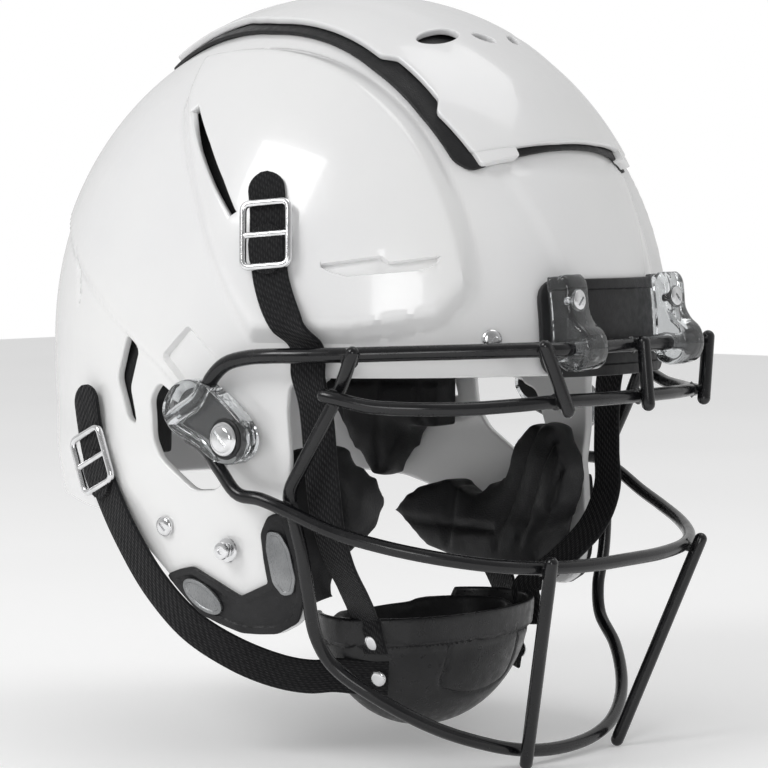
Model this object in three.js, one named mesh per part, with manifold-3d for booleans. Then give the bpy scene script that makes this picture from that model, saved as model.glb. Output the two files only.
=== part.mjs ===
// Football helmet with a hinged wire face mask, chin straps and liner pads.
// Millimetres. The face looks along -Y, +Z is up and -X is the wearer's right.
// The origin is the centre of the head, level with the brow edge of the shell.
import * as THREE from 'three';
import { mergeVertices } from 'three/addons/utils/BufferGeometryUtils.js';
import Module from 'manifold-3d';

const wasm = await Module();
wasm.setup();

// Driving dimensions of the shell
const HALF_WIDTH = 118;
const FRONT_DEPTH = 139;
const REAR_DEPTH = 149;
const CROWN_HEIGHT = 147.5;
const SKIRT_FRONT = 280;
const SKIRT_REAR = 150;
const CENTRE_Y = 11;
const PLAN_POWER = 2.07;
const RISE_POWER = 2.08;
const FRONT_TAPER = 0.06;
const WALL = 4;
const POD_LIFT = 4.5;
const POD_BEVEL = 11;
const GAP = 0.4;
const SLIVER = 0.03;

// Driving dimensions of the mask, straps and liner
const RAIL_RADIUS = 3.1;
const BAR_RADIUS = 2.8;
const RAIL_Y = -134;
const RAIL_Z = 3;
const RAIL_STRAIGHT = 44;
const RAIL_END_X = -123;
const CLIP_X = 36;
const STRAP_WIDTH = 15.5;
const STRAP_THICKNESS = 1.8;
const PAD_GAP = 1.4;
const CUP_CENTRE = new THREE.Vector3(0, -28, -113);
const CUP_RIM_Z = -114;

const helmet = new THREE.Group();
const V = (x, y, z) => new THREE.Vector3(x, y, z);

function finish(colour, roughness, metalness = 0) {
  return new THREE.MeshStandardMaterial({ color: colour, roughness, metalness });
}

const WHITE_SHELL = finish(0xf2f2f2, 0.18);
const BLACK_TRIM = finish(0x151515, 0.55);
const BLACK_WIRE = finish(0x0c0c0c, 0.25);
const CLEAR_CLIP = finish(0xdfe4e6, 0.12);
const CHROME = finish(0xd5d7da, 0.15, 1);
const WEBBING = finish(0x2a2a2c, 0.85);
const HARD_CUP = finish(0x1c1c1e, 0.4);
const SOFT_PAD = finish(0x1a1a1b, 0.75);
const BADGE = finish(0xc9cccf, 0.4);

// ---------------------------------------------------------------- shell form

const clamp = (value, low, high) => Math.min(Math.max(value, low), high);
const power = (value, exponent) => Math.sign(value) * Math.abs(value) ** exponent;

function planDepth(y, lift) {
  return (y < 0 ? FRONT_DEPTH : REAR_DEPTH) + lift;
}

function taper(y) {
  return 1 - FRONT_TAPER * clamp(-y / FRONT_DEPTH, 0, 1) ** 2;
}

function verticalReach(y, above, lift) {
  const rearward = clamp(y / REAR_DEPTH, 0, 1) ** 2;
  const skirt = SKIRT_FRONT + (SKIRT_REAR - SKIRT_FRONT) * rearward;
  return (above ? CROWN_HEIGHT : skirt) + lift;
}

// True when a point lies within the shell's outer surface grown by lift.
function isInside(point, lift) {
  const y = point.y - CENTRE_Y;
  const across = Math.abs(point.x / ((HALF_WIDTH + lift) * taper(y))) ** PLAN_POWER;
  const along = Math.abs(y / planDepth(y, lift)) ** PLAN_POWER;
  const radius = (across + along) ** (1 / PLAN_POWER);
  const height = Math.abs(point.z / verticalReach(y, point.z > 0, lift));
  return radius ** RISE_POWER + height ** RISE_POWER < 1;
}

// The point where a ray from inside leaves the surface grown by lift.
function project(start, direction, lift) {
  let near = 0;
  let far = 400;
  for (let step = 0; step < 40; step += 1) {
    const middle = (near + far) / 2;
    const point = start.clone().addScaledVector(direction, middle);
    if (isInside(point, lift)) near = middle;
    else far = middle;
  }
  return start.clone().addScaledVector(direction, near);
}

const onRight = (y, z, lift) => project(V(0, y, z), V(-1, 0, 0), lift);
const onFront = (x, z, lift) => project(V(x, CENTRE_Y, z), V(0, -1, 0), lift);
const onRear = (x, z, lift) => project(V(x, CENTRE_Y, z), V(0, 1, 0), lift);

// angle runs from 0 at the face over the crown to 180 degrees at the nape
function onCrown(x, angle, lift) {
  const turn = THREE.MathUtils.degToRad(angle);
  return project(V(x, CENTRE_Y, 0), V(0, -Math.cos(turn), Math.sin(turn)), lift);
}

// Outline of the raised side pod, seen from the side as (y, z).
const POD = [
  [-94, 72], [-100, 64], [-104, 50], [-105, 27], [-95, 11], [-66, 5], [-25, 5],
  [-13, 22], [-1, 42], [11, 63], [25, 84], [36, 101], [45, 128], [0, 150], [-50, 130], [-80, 96],
];

function signedDistance(y, z, outline) {
  let nearest = Infinity;
  let within = false;
  outline.forEach(([y1, z1], index) => {
    const [y0, z0] = outline[(index + outline.length - 1) % outline.length];
    const covered = (y - y0) * (y1 - y0) + (z - z0) * (z1 - z0);
    const along = clamp(covered / ((y1 - y0) ** 2 + (z1 - z0) ** 2), 0, 1);
    nearest = Math.min(nearest, Math.hypot(y - y0 - along * (y1 - y0), z - z0 - along * (z1 - z0)));
    const crosses = z0 > z !== z1 > z;
    if (crosses && y < ((y1 - y0) * (z - z0)) / (z1 - z0) + y0) within = !within;
  });
  return within ? nearest : -nearest;
}

// How far the pod stands out of the base surface at a point.
function podLift(point) {
  const inwards = clamp(signedDistance(point.y, point.z, POD) / POD_BEVEL, 0, 1);
  const besideCrown = clamp((Math.abs(point.x) - 62) / 8, 0, 1);
  return POD_LIFT * inwards * inwards * (3 - 2 * inwards) * besideCrown;
}

// ---------------------------------------------------------- closed geometry

function fromTriangles(triangles) {
  const geometry = new THREE.BufferGeometry();
  const positions = triangles.flatMap((corner) => corner.toArray());
  geometry.setAttribute('position', new THREE.Float32BufferAttribute(positions, 3));
  return mergeVertices(geometry, 1e-3);
}

// A closed body from equal rings of points, with a flat fan over each end.
function loft(rings) {
  const triangles = [];
  const count = rings[0].length;
  for (let row = 0; row + 1 < rings.length; row += 1) {
    for (let column = 0; column < count; column += 1) {
      const next = (column + 1) % count;
      const [a, b] = [rings[row][column], rings[row][next]];
      const [c, d] = [rings[row + 1][column], rings[row + 1][next]];
      triangles.push(a, b, d, a, d, c);
    }
  }
  const cap = (ring, forward) => {
    const middle = ring.reduce((sum, corner) => sum.add(corner), V(0, 0, 0)).divideScalar(count);
    ring.forEach((corner, column) => {
      const next = ring[(column + 1) % count];
      triangles.push(...(forward ? [middle, corner, next] : [middle, next, corner]));
    });
  };
  cap(rings[0], false);
  cap(rings[rings.length - 1], true);
  return outward(fromTriangles(triangles));
}

function volume(geometry) {
  const position = geometry.getAttribute('position');
  const corner = (slot) => new THREE.Vector3().fromBufferAttribute(position, geometry.index.getX(slot));
  let total = 0;
  for (let slot = 0; slot < geometry.index.count; slot += 3) {
    total += corner(slot).dot(corner(slot + 1).cross(corner(slot + 2)));
  }
  return total / 6;
}

function flip(geometry) {
  const turned = geometry.clone();
  const index = turned.index.array;
  for (let slot = 0; slot < index.length; slot += 3) {
    [index[slot], index[slot + 1]] = [index[slot + 1], index[slot]];
  }
  return turned;
}

const outward = (geometry) => (volume(geometry) < 0 ? flip(geometry) : geometry);

function mirrored(geometry) {
  return flip(bare(geometry).applyMatrix4(new THREE.Matrix4().makeScale(-1, 1, 1)));
}

// Position only, with shared corners merged.
function bare(geometry) {
  const copy = geometry.clone();
  copy.deleteAttribute('normal');
  copy.deleteAttribute('uv');
  return mergeVertices(copy, 1e-3);
}

function solid(geometry) {
  const clean = bare(geometry);
  const vertProperties = new Float32Array(clean.getAttribute('position').array);
  const triVerts = new Uint32Array(clean.index.array);
  return new wasm.Manifold(new wasm.Mesh({ numProp: 3, vertProperties, triVerts }));
}

function fromSolid(body) {
  const mesh = body.simplify(SLIVER).getMesh();
  const geometry = new THREE.BufferGeometry();
  const positions = new Float32Array(mesh.numVert * 3);
  for (let corner = 0; corner < mesh.numVert; corner += 1) {
    for (let axis = 0; axis < 3; axis += 1) {
      positions[corner * 3 + axis] = mesh.vertProperties[corner * mesh.numProp + axis];
    }
  }
  geometry.setAttribute('position', new THREE.BufferAttribute(positions, 3));
  geometry.setIndex(new THREE.BufferAttribute(new Uint32Array(mesh.triVerts), 1));
  return geometry;
}

// A side view outline of (y, z) points, extruded along X.
function sidePrism(outline, fromX, toX) {
  const shape = new THREE.Shape(outline.map(([y, z]) => new THREE.Vector2(y, z)));
  const geometry = new THREE.ExtrudeGeometry(shape, { depth: toX - fromX, bevelEnabled: false });
  geometry.translate(0, 0, fromX);
  return geometry.applyMatrix4(new THREE.Matrix4().makeBasis(V(0, 1, 0), V(0, 0, 1), V(1, 0, 0)));
}

// A plate between two lifts over a patch: place(s, t, lift) with s and t in 0..1.
function patch(place, low, high, across, along) {
  const at = (column, row, lift) => place(column / across, row / along, lift);
  const triangles = [];
  const quad = (a, b, c, d) => triangles.push(a, b, c, a, c, d);
  for (let row = 0; row < along; row += 1) {
    for (let column = 0; column < across; column += 1) {
      const [right, next] = [column + 1, row + 1];
      quad(at(column, row, high), at(right, row, high), at(right, next, high), at(column, next, high));
      quad(at(column, row, low), at(column, next, low), at(right, next, low), at(right, row, low));
    }
    quad(at(0, row, low), at(0, row, high), at(0, row + 1, high), at(0, row + 1, low));
    quad(at(across, row, high), at(across, row, low), at(across, row + 1, low), at(across, row + 1, high));
  }
  for (let column = 0; column < across; column += 1) {
    const next = column + 1;
    quad(at(column, 0, low), at(next, 0, low), at(next, 0, high), at(column, 0, high));
    quad(at(column, along, high), at(next, along, high), at(next, along, low), at(column, along, low));
  }
  return outward(fromTriangles(triangles));
}

// A plate of any side view outline laid on the right side of the shell.
function sidePlate(outline, low, high) {
  const flat = outline.map(([y, z]) => new THREE.Vector2(y, z));
  const faces = THREE.ShapeUtils.triangulateShape(flat, []);
  const place = (corner, lift) => onRight(flat[corner].x, flat[corner].y, lift);
  const triangles = [];
  faces.forEach(([a, b, c]) => {
    triangles.push(place(a, high), place(b, high), place(c, high));
    triangles.push(place(c, low), place(b, low), place(a, low));
  });
  flat.forEach((_, corner) => {
    const next = (corner + 1) % flat.length;
    const turn = THREE.ShapeUtils.isClockWise(flat) ? [next, corner] : [corner, next];
    const [a, b] = [place(turn[0], low), place(turn[1], low)];
    const [c, d] = [place(turn[0], high), place(turn[1], high)];
    triangles.push(a, b, d, a, d, c);
  });
  return outward(fromTriangles(triangles));
}

// A round wire along a smooth curve through the points.
function wire(points, radius, steps) {
  const circle = new THREE.Shape();
  circle.absarc(0, 0, radius, 0, Math.PI * 2, false);
  const extrudePath = new THREE.CatmullRomCurve3(points, false, 'centripetal');
  return new THREE.ExtrudeGeometry(circle, { steps, extrudePath, curveSegments: 4, bevelEnabled: false });
}

// Webbing along a smooth curve; side(t) is the direction of its width.
function ribbon(points, side, steps, width = STRAP_WIDTH, thickness = STRAP_THICKNESS) {
  const curve = new THREE.CatmullRomCurve3(points, false, 'centripetal');
  const rings = [];
  for (let row = 0; row <= steps; row += 1) {
    const t = row / steps;
    const centre = curve.getPoint(t);
    const tangent = curve.getTangent(t);
    const across = side(t).clone().addScaledVector(tangent, -side(t).dot(tangent)).normalize();
    const up = tangent.clone().cross(across).normalize();
    const corner = (a, b) => centre.clone()
      .addScaledVector(across, (a * width) / 2)
      .addScaledVector(up, (b * thickness) / 2);
    rings.push([corner(-1, -1), corner(1, -1), corner(1, 1), corner(-1, 1)]);
  }
  return loft(rings);
}

// A turned piece with its axis through centre along direction; profile is [radius, height] pairs.
function turned(profile, centre, direction, segments = 12) {
  const points = profile.map(([radius, height]) => new THREE.Vector2(radius, height));
  const geometry = new THREE.LatheGeometry(points, segments);
  const turn = new THREE.Quaternion().setFromUnitVectors(V(0, 1, 0), direction.clone().normalize());
  geometry.applyQuaternion(turn);
  geometry.translate(centre.x, centre.y, centre.z);
  return outward(bare(geometry));
}

function add(name, geometry, material) {
  const mesh = new THREE.Mesh(geometry, material);
  mesh.name = name;
  helmet.add(mesh);
}

// The right-hand piece and its mirror image on the left.
function addPair(name, geometry, material) {
  add(`${name}_right`, geometry, material);
  add(`${name}_left`, mirrored(geometry), material);
}

// -------------------------------------------------------------------- shell

// Rows of the dome in degrees of rise, from below the jaw to the crown
const SHELL_ROWS = [-33, -25, -17, -9, -3, 1.5, 6.5, 13, 20, 28, 36, 44, 52, 60, 68, 76, 83, 89];
const SHELL_TURNS = 52;

// Closed dome from a little below the jaw to the crown; lower adds a row beneath.
function dome(lift, lower, turns, relief) {
  const rings = [];
  const rows = lower > 0 ? [SHELL_ROWS[0] - lower, ...SHELL_ROWS] : SHELL_ROWS;
  rows.forEach((degrees) => {
    const rise = THREE.MathUtils.degToRad(degrees);
    const radius = power(Math.cos(rise), 2 / RISE_POWER);
    const height = power(Math.sin(rise), 2 / RISE_POWER);
    const ring = [];
    for (let column = 0; column < turns; column += 1) {
      const turn = (Math.PI * 2 * column) / turns;
      const [sine, cosine] = [Math.sin(turn), -Math.cos(turn)];
      const y = power(cosine, 2 / PLAN_POWER) * planDepth(cosine, lift) * radius;
      const x = power(sine, 2 / PLAN_POWER) * (HALF_WIDTH + lift) * taper(y) * radius;
      const point = V(x, y + CENTRE_Y, height * verticalReach(y, rise > 0, lift));
      const out = V(x, y, Math.max(point.z, 0)).normalize();
      ring.push(point.addScaledVector(out, relief(point)));
    }
    rings.push(ring);
  });
  return loft(rings);
}

// Side view outlines, as (y, z): what the shell keeps, and the holes through each side.
const SIDE_OUTLINE = [
  [-220, 220], [-220, -7], [-62, -8], [-47, -8], [-41, -12], [-40, -22], [-41, -42], [-39, -58],
  [-41, -66], [-44, -84], [-44, -100], [-41, -109], [-32, -114], [-16, -114.5], [4, -108],
  [20, -94], [32, -84], [48, -75], [66, -69], [100, -66], [220, -68], [220, 220],
];
const EAR_HOLE = [
  [24, -13], [30, -20], [28, -36], [22, -45], [4, -57], [-8, -56], [-14, -46], [-6, -26], [12, -20],
];
const SLOT_VENT = [[45, 6], [37, 0], [43, -16], [39, -31], [45, -29], [52, -12]];
const SLIT_VENT = [[20, 97], [6, 82], [-6, 67], [-16, 56], [-14, 55], [-3, 67], [9, 81], [22, 96]];
const SIDE_REACH = 150;

const PLATE_FRONT = 37;
const PLATE_REAR = 122;
const PLATE_LIFT = 3.6;
const SPACER_LIFT = 1.9;
const SPACER_MARGIN = 3.5;

// Half width of the crown plate from front (0) to rear (1)
const PLATE_HALF_WIDTHS = [56, 55, 54, 54, 56, 54, 50, 45, 38, 31];

function plateHalfWidth(t) {
  const place = t * (PLATE_HALF_WIDTHS.length - 1);
  const before = Math.min(Math.floor(place), PLATE_HALF_WIDTHS.length - 2);
  const share = place - before;
  return PLATE_HALF_WIDTHS[before] * (1 - share) + PLATE_HALF_WIDTHS[before + 1] * share;
}

function crownPatch(margin, low, high) {
  const place = (s, t, lift) => {
    const halfWidth = plateHalfWidth(t) + margin;
    const spare = (margin / 2.4) * (2 * t - 1);
    const angle = PLATE_FRONT + (PLATE_REAR - PLATE_FRONT) * t + spare;
    return onCrown((s * 2 - 1) * halfWidth, angle, lift);
  };
  return patch(place, low, high, 8, 14);
}

const CROWN_VENTS = [[-21, 66], [21, 66], [-11, 60], [11, 60], [-22, 100], [22, 100]];

function crownVents(body) {
  return CROWN_VENTS.reduce((rest, [x, angle]) => {
    const centre = onCrown(x, angle, 0);
    const profile = [[0, -20], [4.5, -20], [4.5, 20], [0, 20]];
    const out = centre.clone().sub(V(0, CENTRE_Y, 0));
    return rest.subtract(solid(turned(profile, centre, out, 8)));
  }, body);
}

const noRelief = () => 0;
const shellDome = (lift, lower) => dome(lift, lower, SHELL_TURNS, noRelief);

function buildShell() {
  let body = solid(dome(0, 0, SHELL_TURNS, podLift));
  body = body.subtract(solid(dome(-WALL, 4, 36, noRelief)));
  body = body.intersect(solid(sidePrism(SIDE_OUTLINE, -SIDE_REACH, SIDE_REACH)));
  [EAR_HOLE, SLOT_VENT, SLIT_VENT].forEach((outline) => {
    body = body.subtract(solid(sidePrism(outline, -SIDE_REACH, SIDE_REACH)));
  });
  const seat = crownPatch(SPACER_MARGIN + 1.5, -3 * GAP, 12);
  body = body.subtract(solid(seat));
  return fromSolid(crownVents(body));
}

add('shell', buildShell(), WHITE_SHELL);

function crownPiece(margin, low, high) {
  return fromSolid(crownVents(solid(crownPatch(margin, low, high))));
}

add('crown_spacer', crownPiece(SPACER_MARGIN, GAP + 0.2, SPACER_LIFT), BLACK_TRIM);
add('crown_plate', crownPiece(0, SPACER_LIFT + GAP, SPACER_LIFT + PLATE_LIFT), WHITE_SHELL);

// ----------------------------------------------------------- bumpers and trim

const BUMPER_THICKNESS = 2.4;

function frontBumper() {
  const place = (s, t, lift) => onFront((s * 2 - 1) * 44, -5.5 + 35 * t, lift);
  return patch(place, GAP + 0.2, BUMPER_THICKNESS, 10, 5);
}

function rearBumper() {
  const place = (s, t, lift) => onRear((s * 2 - 1) * 46, -62 + 40 * t, lift);
  return patch(place, GAP + 0.2, BUMPER_THICKNESS + 1, 10, 5);
}

add('front_bumper', frontBumper(), BLACK_TRIM);
add('rear_bumper', rearBumper(), BLACK_TRIM);

// The jaw trim follows the jaw's lower front edge, as (y, z).
const JAW_TRIM = [
  [20, -93.5], [13, -91], [6, -89.5], [-6, -95], [-17, -100.5], [-31, -94], [-30, -84], [-29.5, -73],
  [-33, -66], [-40, -64], [-42.5, -74], [-44, -84], [-44, -100], [-41, -108.5], [-32, -113.5],
  [-24, -114], [-16, -114], [-6, -111], [4, -107.5], [12, -101],
];

const TRIM_LIFT = 2.4;

function jawTrim() {
  const layer = solid(shellDome(TRIM_LIFT, 0)).subtract(solid(shellDome(GAP, 4)));
  return fromSolid(layer.intersect(solid(sidePrism(JAW_TRIM, -SIDE_REACH, 0))));
}

addPair('jaw_trim', jawTrim(), BLACK_TRIM);

const badgeProfile = [[0, 0], [6.5, 0], [6.5, 0.8], [0, 0.8]];
addPair('oval_badge', turned(badgeProfile, onRight(1, -100, TRIM_LIFT + 0.6), V(-1, 0.03, -0.14), 20), BADGE);

// ------------------------------------------------------------------ hardware

const hexSocketHead = (radius, height, shank, length) => [
  [0, -length], [shank, -length], [shank, 0], [radius, 0],
  [radius, height * 0.5], [radius * 0.8, height], [0, height],
];

// A clip screwed to the brow that wraps the top rail; side view outline as (y, z).
function frontClip() {
  const plate = [
    [-114, 31], [-126.5, 31], [-129.5, 28], [-130.6, 16], [-135, 11], [-140, 8], [-141.5, 3], [-140, -2.5],
    [-134, -4.5], [-129, -3], [-126, 1], [-114, 4],
  ];
  const brow = solid(shellDome(BUMPER_THICKNESS + GAP + 0.2, 0));
  const body = solid(sidePrism(plate, -CLIP_X - 7.5, -CLIP_X + 7.5)).subtract(brow);
  const railProfile = [[0, -20], [RAIL_RADIUS + 0.5, -20], [RAIL_RADIUS + 0.5, 20], [0, 20]];
  const rail = turned(railProfile, V(-CLIP_X, RAIL_Y, RAIL_Z), V(1, 0, 0), 16);
  const bore = turned([[0, -20], [2.6, -20], [2.6, 20], [0, 20]], V(-CLIP_X, -128, 22), V(0, 1, 0), 12);
  return fromSolid(body.subtract(solid(rail)).subtract(solid(bore)));
}

addPair('front_clip', frontClip(), CLEAR_CLIP);
const frontClipScrew = turned(hexSocketHead(5, 2.2, 2.2, 3), V(-CLIP_X, -130.9, 22), V(0, -1, 0));
addPair('front_clip_screw', frontClipScrew, CHROME);

// The side clip holds both rail ends; side view outline as (y, z).
const SIDE_CLIP = [
  [11, -23], [5, -13.5], [-4, -11], [-14, -14], [-26, -23], [-33, -29], [-34, -37], [-27, -43],
  [-17, -42], [-8, -36], [6, -31],
];
const SIDE_CLIP_X = -127.8;
const SIDE_CLIP_DEPTH = 9.2;
const SIDE_SCREW = V(SIDE_CLIP_X, -24, -33.5);

const TOP_RAIL = [
  V(RAIL_END_X, 4, -25), V(RAIL_END_X, -6, -19), V(RAIL_END_X, -13, -9), V(-122.8, -20, -3.5),
  V(-121.6, -30, -0.8), V(-119.6, -42, 0.2), V(-115, -55, 0.5), V(-105.6, -71.5, 1), V(-91.5, -89, 1.6),
  V(-76, -107.5, 2.2), V(-62, -123, 2.8), V(-55, -130.5, RAIL_Z), V(-48.5, RAIL_Y, RAIL_Z),
  V(-RAIL_STRAIGHT, RAIL_Y, RAIL_Z), V(-RAIL_STRAIGHT / 2, RAIL_Y, RAIL_Z), V(0, RAIL_Y, RAIL_Z),
];
const LOWER_RAIL = [
  V(RAIL_END_X, 2, -33.5), V(RAIL_END_X, -8, -38), V(RAIL_END_X, -17, -47), V(-122.6, -26, -56),
  V(-121.5, -37, -57.5), V(-118, -49, -62), V(-111.5, -66, -69.5), V(-102, -84, -75), V(-89, -102, -79.5),
  V(-72, -117.5, -83), V(-53, -127, -85), V(-28, -132, -86), V(0, -133.4, -86),
];
const BROW_BAR = [
  V(-116.3, -63, -14.5), V(-114.3, -70, -16), V(-107.6, -82, -19), V(-97, -97, -20), V(-82, -112, -20),
  V(-66, -124, -19), V(-50, -131.8, -18), V(-30, -136, -18), V(0, -137.3, -18),
];
const ORAL_LOOP = [
  V(-111.8, -78, 4.5), V(-110.4, -73, -5), V(-108.8, -67.5, -14), V(-110.5, -60, -28), V(-112, -51, -44),
  V(-112.5, -45, -55.5), V(-111.5, -46.5, -66), V(-109, -48.5, -80),
  V(-106, -49.5, -98), V(-101.5, -49.5, -114),
  V(-96.5, -54, -126), V(-88, -68, -138), V(-69, -84.5, -152), V(-45, -96.5, -161.5), V(-24, -101.5, -166),
  V(0, -103, -167.5),
];

// The full wire from its right half, which ends on the middle plane.
function bothHalves(half) {
  const other = half.slice(0, -1).reverse().map((point) => V(-point.x, point.y, point.z));
  return [...half, ...other];
}

add('mask_top_rail', wire(bothHalves(TOP_RAIL), RAIL_RADIUS, 44), BLACK_WIRE);
add('mask_lower_rail', wire(bothHalves(LOWER_RAIL), BAR_RADIUS, 38), BLACK_WIRE);
add('mask_brow_bar', wire(bothHalves(BROW_BAR), BAR_RADIUS, 24), BLACK_WIRE);
add('mask_oral_loop', wire(bothHalves(ORAL_LOOP), BAR_RADIUS, 44), BLACK_WIRE);
add('mask_centre_bar', wire([V(0, -140.4, 7), V(0, -143.4, -24)], BAR_RADIUS, 2), BLACK_WIRE);
addPair('mask_brow_upright', wire([V(-61.5, -133.5, 7), V(-49.5, -138.6, -24)], BAR_RADIUS, 2), BLACK_WIRE);
addPair('mask_lower_upright', wire([V(-56.2, -134.6, -80), V(-33, -105, -172)], BAR_RADIUS, 2), BLACK_WIRE);

function sideClip() {
  let body = solid(sidePrism(SIDE_CLIP, SIDE_CLIP_X, SIDE_CLIP_X + SIDE_CLIP_DEPTH));
  [TOP_RAIL, LOWER_RAIL].forEach((half) => {
    const beyond = half[0].clone().multiplyScalar(2).sub(half[1]);
    const channel = wire([beyond.lerp(half[0], 0.8), ...half.slice(0, 6)], RAIL_RADIUS + 2 * GAP, 20);
    body = body.subtract(solid(channel));
  });
  const bore = turned([[0, -30], [3.4, -30], [3.4, 30], [0, 30]], SIDE_SCREW, V(1, 0, 0), 16);
  return fromSolid(body.subtract(solid(bore)));
}

addPair('side_clip', sideClip(), CLEAR_CLIP);
const quarterTurn = hexSocketHead(6, 2.6, 3, 8.6);
const sideScrewSeat = V(SIDE_SCREW.x - GAP, SIDE_SCREW.y, SIDE_SCREW.z);
addPair('side_clip_screw', turned(quarterTurn, sideScrewSeat, V(-1, 0, 0)), CHROME);

// Snap studs and shell screws stand on the shell, straight out sideways.
const snapStud = [[0, 0], [4.6, 0], [4.6, 0.8], [2.6, 1.4], [2.6, 2.6], [3.6, 3.6], [3.2, 5], [0, 5]];
const domeScrew = [[0, 0], [4.2, 0], [3.8, 1], [2.4, 1.8], [0, 2]];

function onSide(profile, y, z, lift) {
  const foot = onRight(y, z, lift);
  return turned(profile, foot, V(-1, 0, 0));
}

addPair('jaw_snap_stud', onSide(snapStud, -13, -80.5, 2), CHROME);
addPair('jaw_screw', onSide(domeScrew, 21, -73, 1.2), CHROME);
const browScrewFoot = onRight(-108.5, 6.5, 2.2);
addPair('brow_screw', turned(domeScrew, browScrewFoot, V(-0.62, -0.78, 0.05)), CHROME);

// -------------------------------------------------------- straps and buckles

const lifted = (y, z, lift) => {
  const point = onRight(y, z, 0);
  return onRight(y, z, podLift(point) + lift);
};

// Upper strap: down over the pod and brow edge, then inwards to the chin cup.
const UPPER_STRAP = [
  lifted(-28, 74, 2.2), lifted(-33, 60, 2.2), lifted(-36, 44, 2.2),
  lifted(-40, 28, 2.4), lifted(-46.5, 13, 2),
  lifted(-51, 3, 3.2), V(-109.1, -52, -8), V(-104.8, -52.5, -22), V(-102.2, -53.5, -50), V(-100.5, -55, -68),
  V(-92, -53.5, -84), V(-75, -47.5, -99), V(-57.6, -37.5, -111.5),
];
// Lower strap: down behind the ear, round the shell's lower edge and forward to the chin cup.
const LOWER_STRAP = [
  lifted(71, -16, 2.6), lifted(68, -32, 2.6), lifted(64, -47, 2.6), lifted(55, -62, 3.2), lifted(42, -78, 5),
  V(-114.8, 27, -98), V(-109, 12, -114.5), V(-97, -2, -126.5), V(-80, -12, -135), V(-68, -19, -138),
  V(-58.8, -24.5, -138),
];

const upperSide = (t) => V(-0.28 * (1 - t) - 0.05, 0.95, 0.2);
const lowerSide = (t) => V(0.1, 0.9 - 0.75 * t, -0.3 - 0.9 * t).negate();

addPair('upper_strap', ribbon(UPPER_STRAP, upperSide, 22), WEBBING);
addPair('lower_strap', ribbon(LOWER_STRAP, lowerSide, 22), WEBBING);

// Rectangular wire buckle round the webbing, lying on the shell.
function buckle(centre, tangent, outwards, length) {
  const outer = new THREE.Shape();
  const [halfWidth, halfLength, barWidth] = [STRAP_WIDTH / 2 + 3, length / 2, 2.6];
  outer.moveTo(-halfWidth, -halfLength);
  outer.lineTo(halfWidth, -halfLength);
  outer.lineTo(halfWidth, halfLength);
  outer.lineTo(-halfWidth, halfLength);
  outer.closePath();
  const inner = new THREE.Path();
  const [w, h] = [halfWidth - barWidth, halfLength - barWidth];
  inner.moveTo(-w, -h);
  inner.lineTo(-w, h);
  inner.lineTo(w, h);
  inner.lineTo(w, -h);
  inner.closePath();
  outer.holes.push(inner);
  const geometry = new THREE.ExtrudeGeometry(outer, { depth: 2.2, bevelEnabled: false });
  const along = tangent.clone().normalize();
  const across = along.clone().cross(outwards).normalize();
  const out = across.clone().cross(along).normalize();
  geometry.applyMatrix4(new THREE.Matrix4().makeBasis(across, along, out));
  geometry.translate(centre.x, centre.y, centre.z);
  return bare(geometry);
}

function buckleOnStrap(points, side, place, length) {
  const curve = new THREE.CatmullRomCurve3(points, false, 'centripetal');
  const tangent = curve.getTangent(place);
  const across = side(place);
  const out = tangent.clone().cross(across).normalize();
  if (out.x > 0) out.negate();
  const centre = curve.getPoint(place).addScaledVector(out, STRAP_THICKNESS / 2 + 1.4);
  return buckle(centre, tangent, out, length);
}

addPair('upper_buckle', buckleOnStrap(UPPER_STRAP, upperSide, 0.16, 25), CHROME);
addPair('lower_buckle', buckleOnStrap(LOWER_STRAP, lowerSide, 0.2, 25), CHROME);

// ------------------------------------------------------------------ chin cup

// Open bowl under the chin, cut away behind; radii are its half sizes.
function bowl(radii, thickness, top) {
  const ball = (shrink) => {
    const geometry = new THREE.SphereGeometry(1, 20, 12);
    geometry.rotateX(Math.PI / 2);
    geometry.scale(radii.x - shrink, radii.y - shrink, radii.z - shrink);
    geometry.translate(CUP_CENTRE.x, CUP_CENTRE.y, CUP_CENTRE.z);
    return solid(geometry);
  };
  const keep = [
    [-160, top - 3], [-60, top], [-2, top + 3], [2, top - 22], [7, -140], [2, -200], [-160, -200],
  ];
  const side = solid(sidePrism(keep, -SIDE_REACH, SIDE_REACH));
  return fromSolid(ball(0).subtract(ball(thickness)).intersect(side));
}

add('chin_cup', bowl(V(60, 36, 52), 3, CUP_RIM_Z), HARD_CUP);
add('chin_pad', bowl(V(56.6, 32.6, 48.6), 8, CUP_RIM_Z - 3), SOFT_PAD);

// -------------------------------------------------------------- liner pads

const INNER = -WALL - PAD_GAP;

function sidePad(y0, y1, z0, z1, depth, across, along) {
  const place = (s, t, lift) => onRight(y0 + (y1 - y0) * s, z0 + (z1 - z0) * t, lift);
  return patch(place, INNER - depth, INNER, across, along);
}

function crownPad(halfWidth, start, end, depth, along) {
  const place = (s, t, lift) => onCrown((s * 2 - 1) * halfWidth, start + (end - start) * t, lift);
  return patch(place, INNER - depth, INNER, 8, along);
}

add('front_pad', crownPad(56, 5, 42, 30, 4), SOFT_PAD);
add('crown_pad', crownPad(50, 47, 115, 28, 7), SOFT_PAD);
add('back_pad', crownPad(52, 120, 164, 36, 5), SOFT_PAD);
add('nape_pad', crownPad(48, 169, 196, 32, 3), SOFT_PAD);
addPair('side_pad', sidePad(-52, 44, 12, 64, 26, 8, 5), SOFT_PAD);

const EAR_PAD = [[36, 6], [84, 6], [94, -30], [66, -74], [50, -46], [36, -46]];
addPair('ear_pad', sidePlate(EAR_PAD, INNER - 20, INNER), SOFT_PAD);

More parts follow.
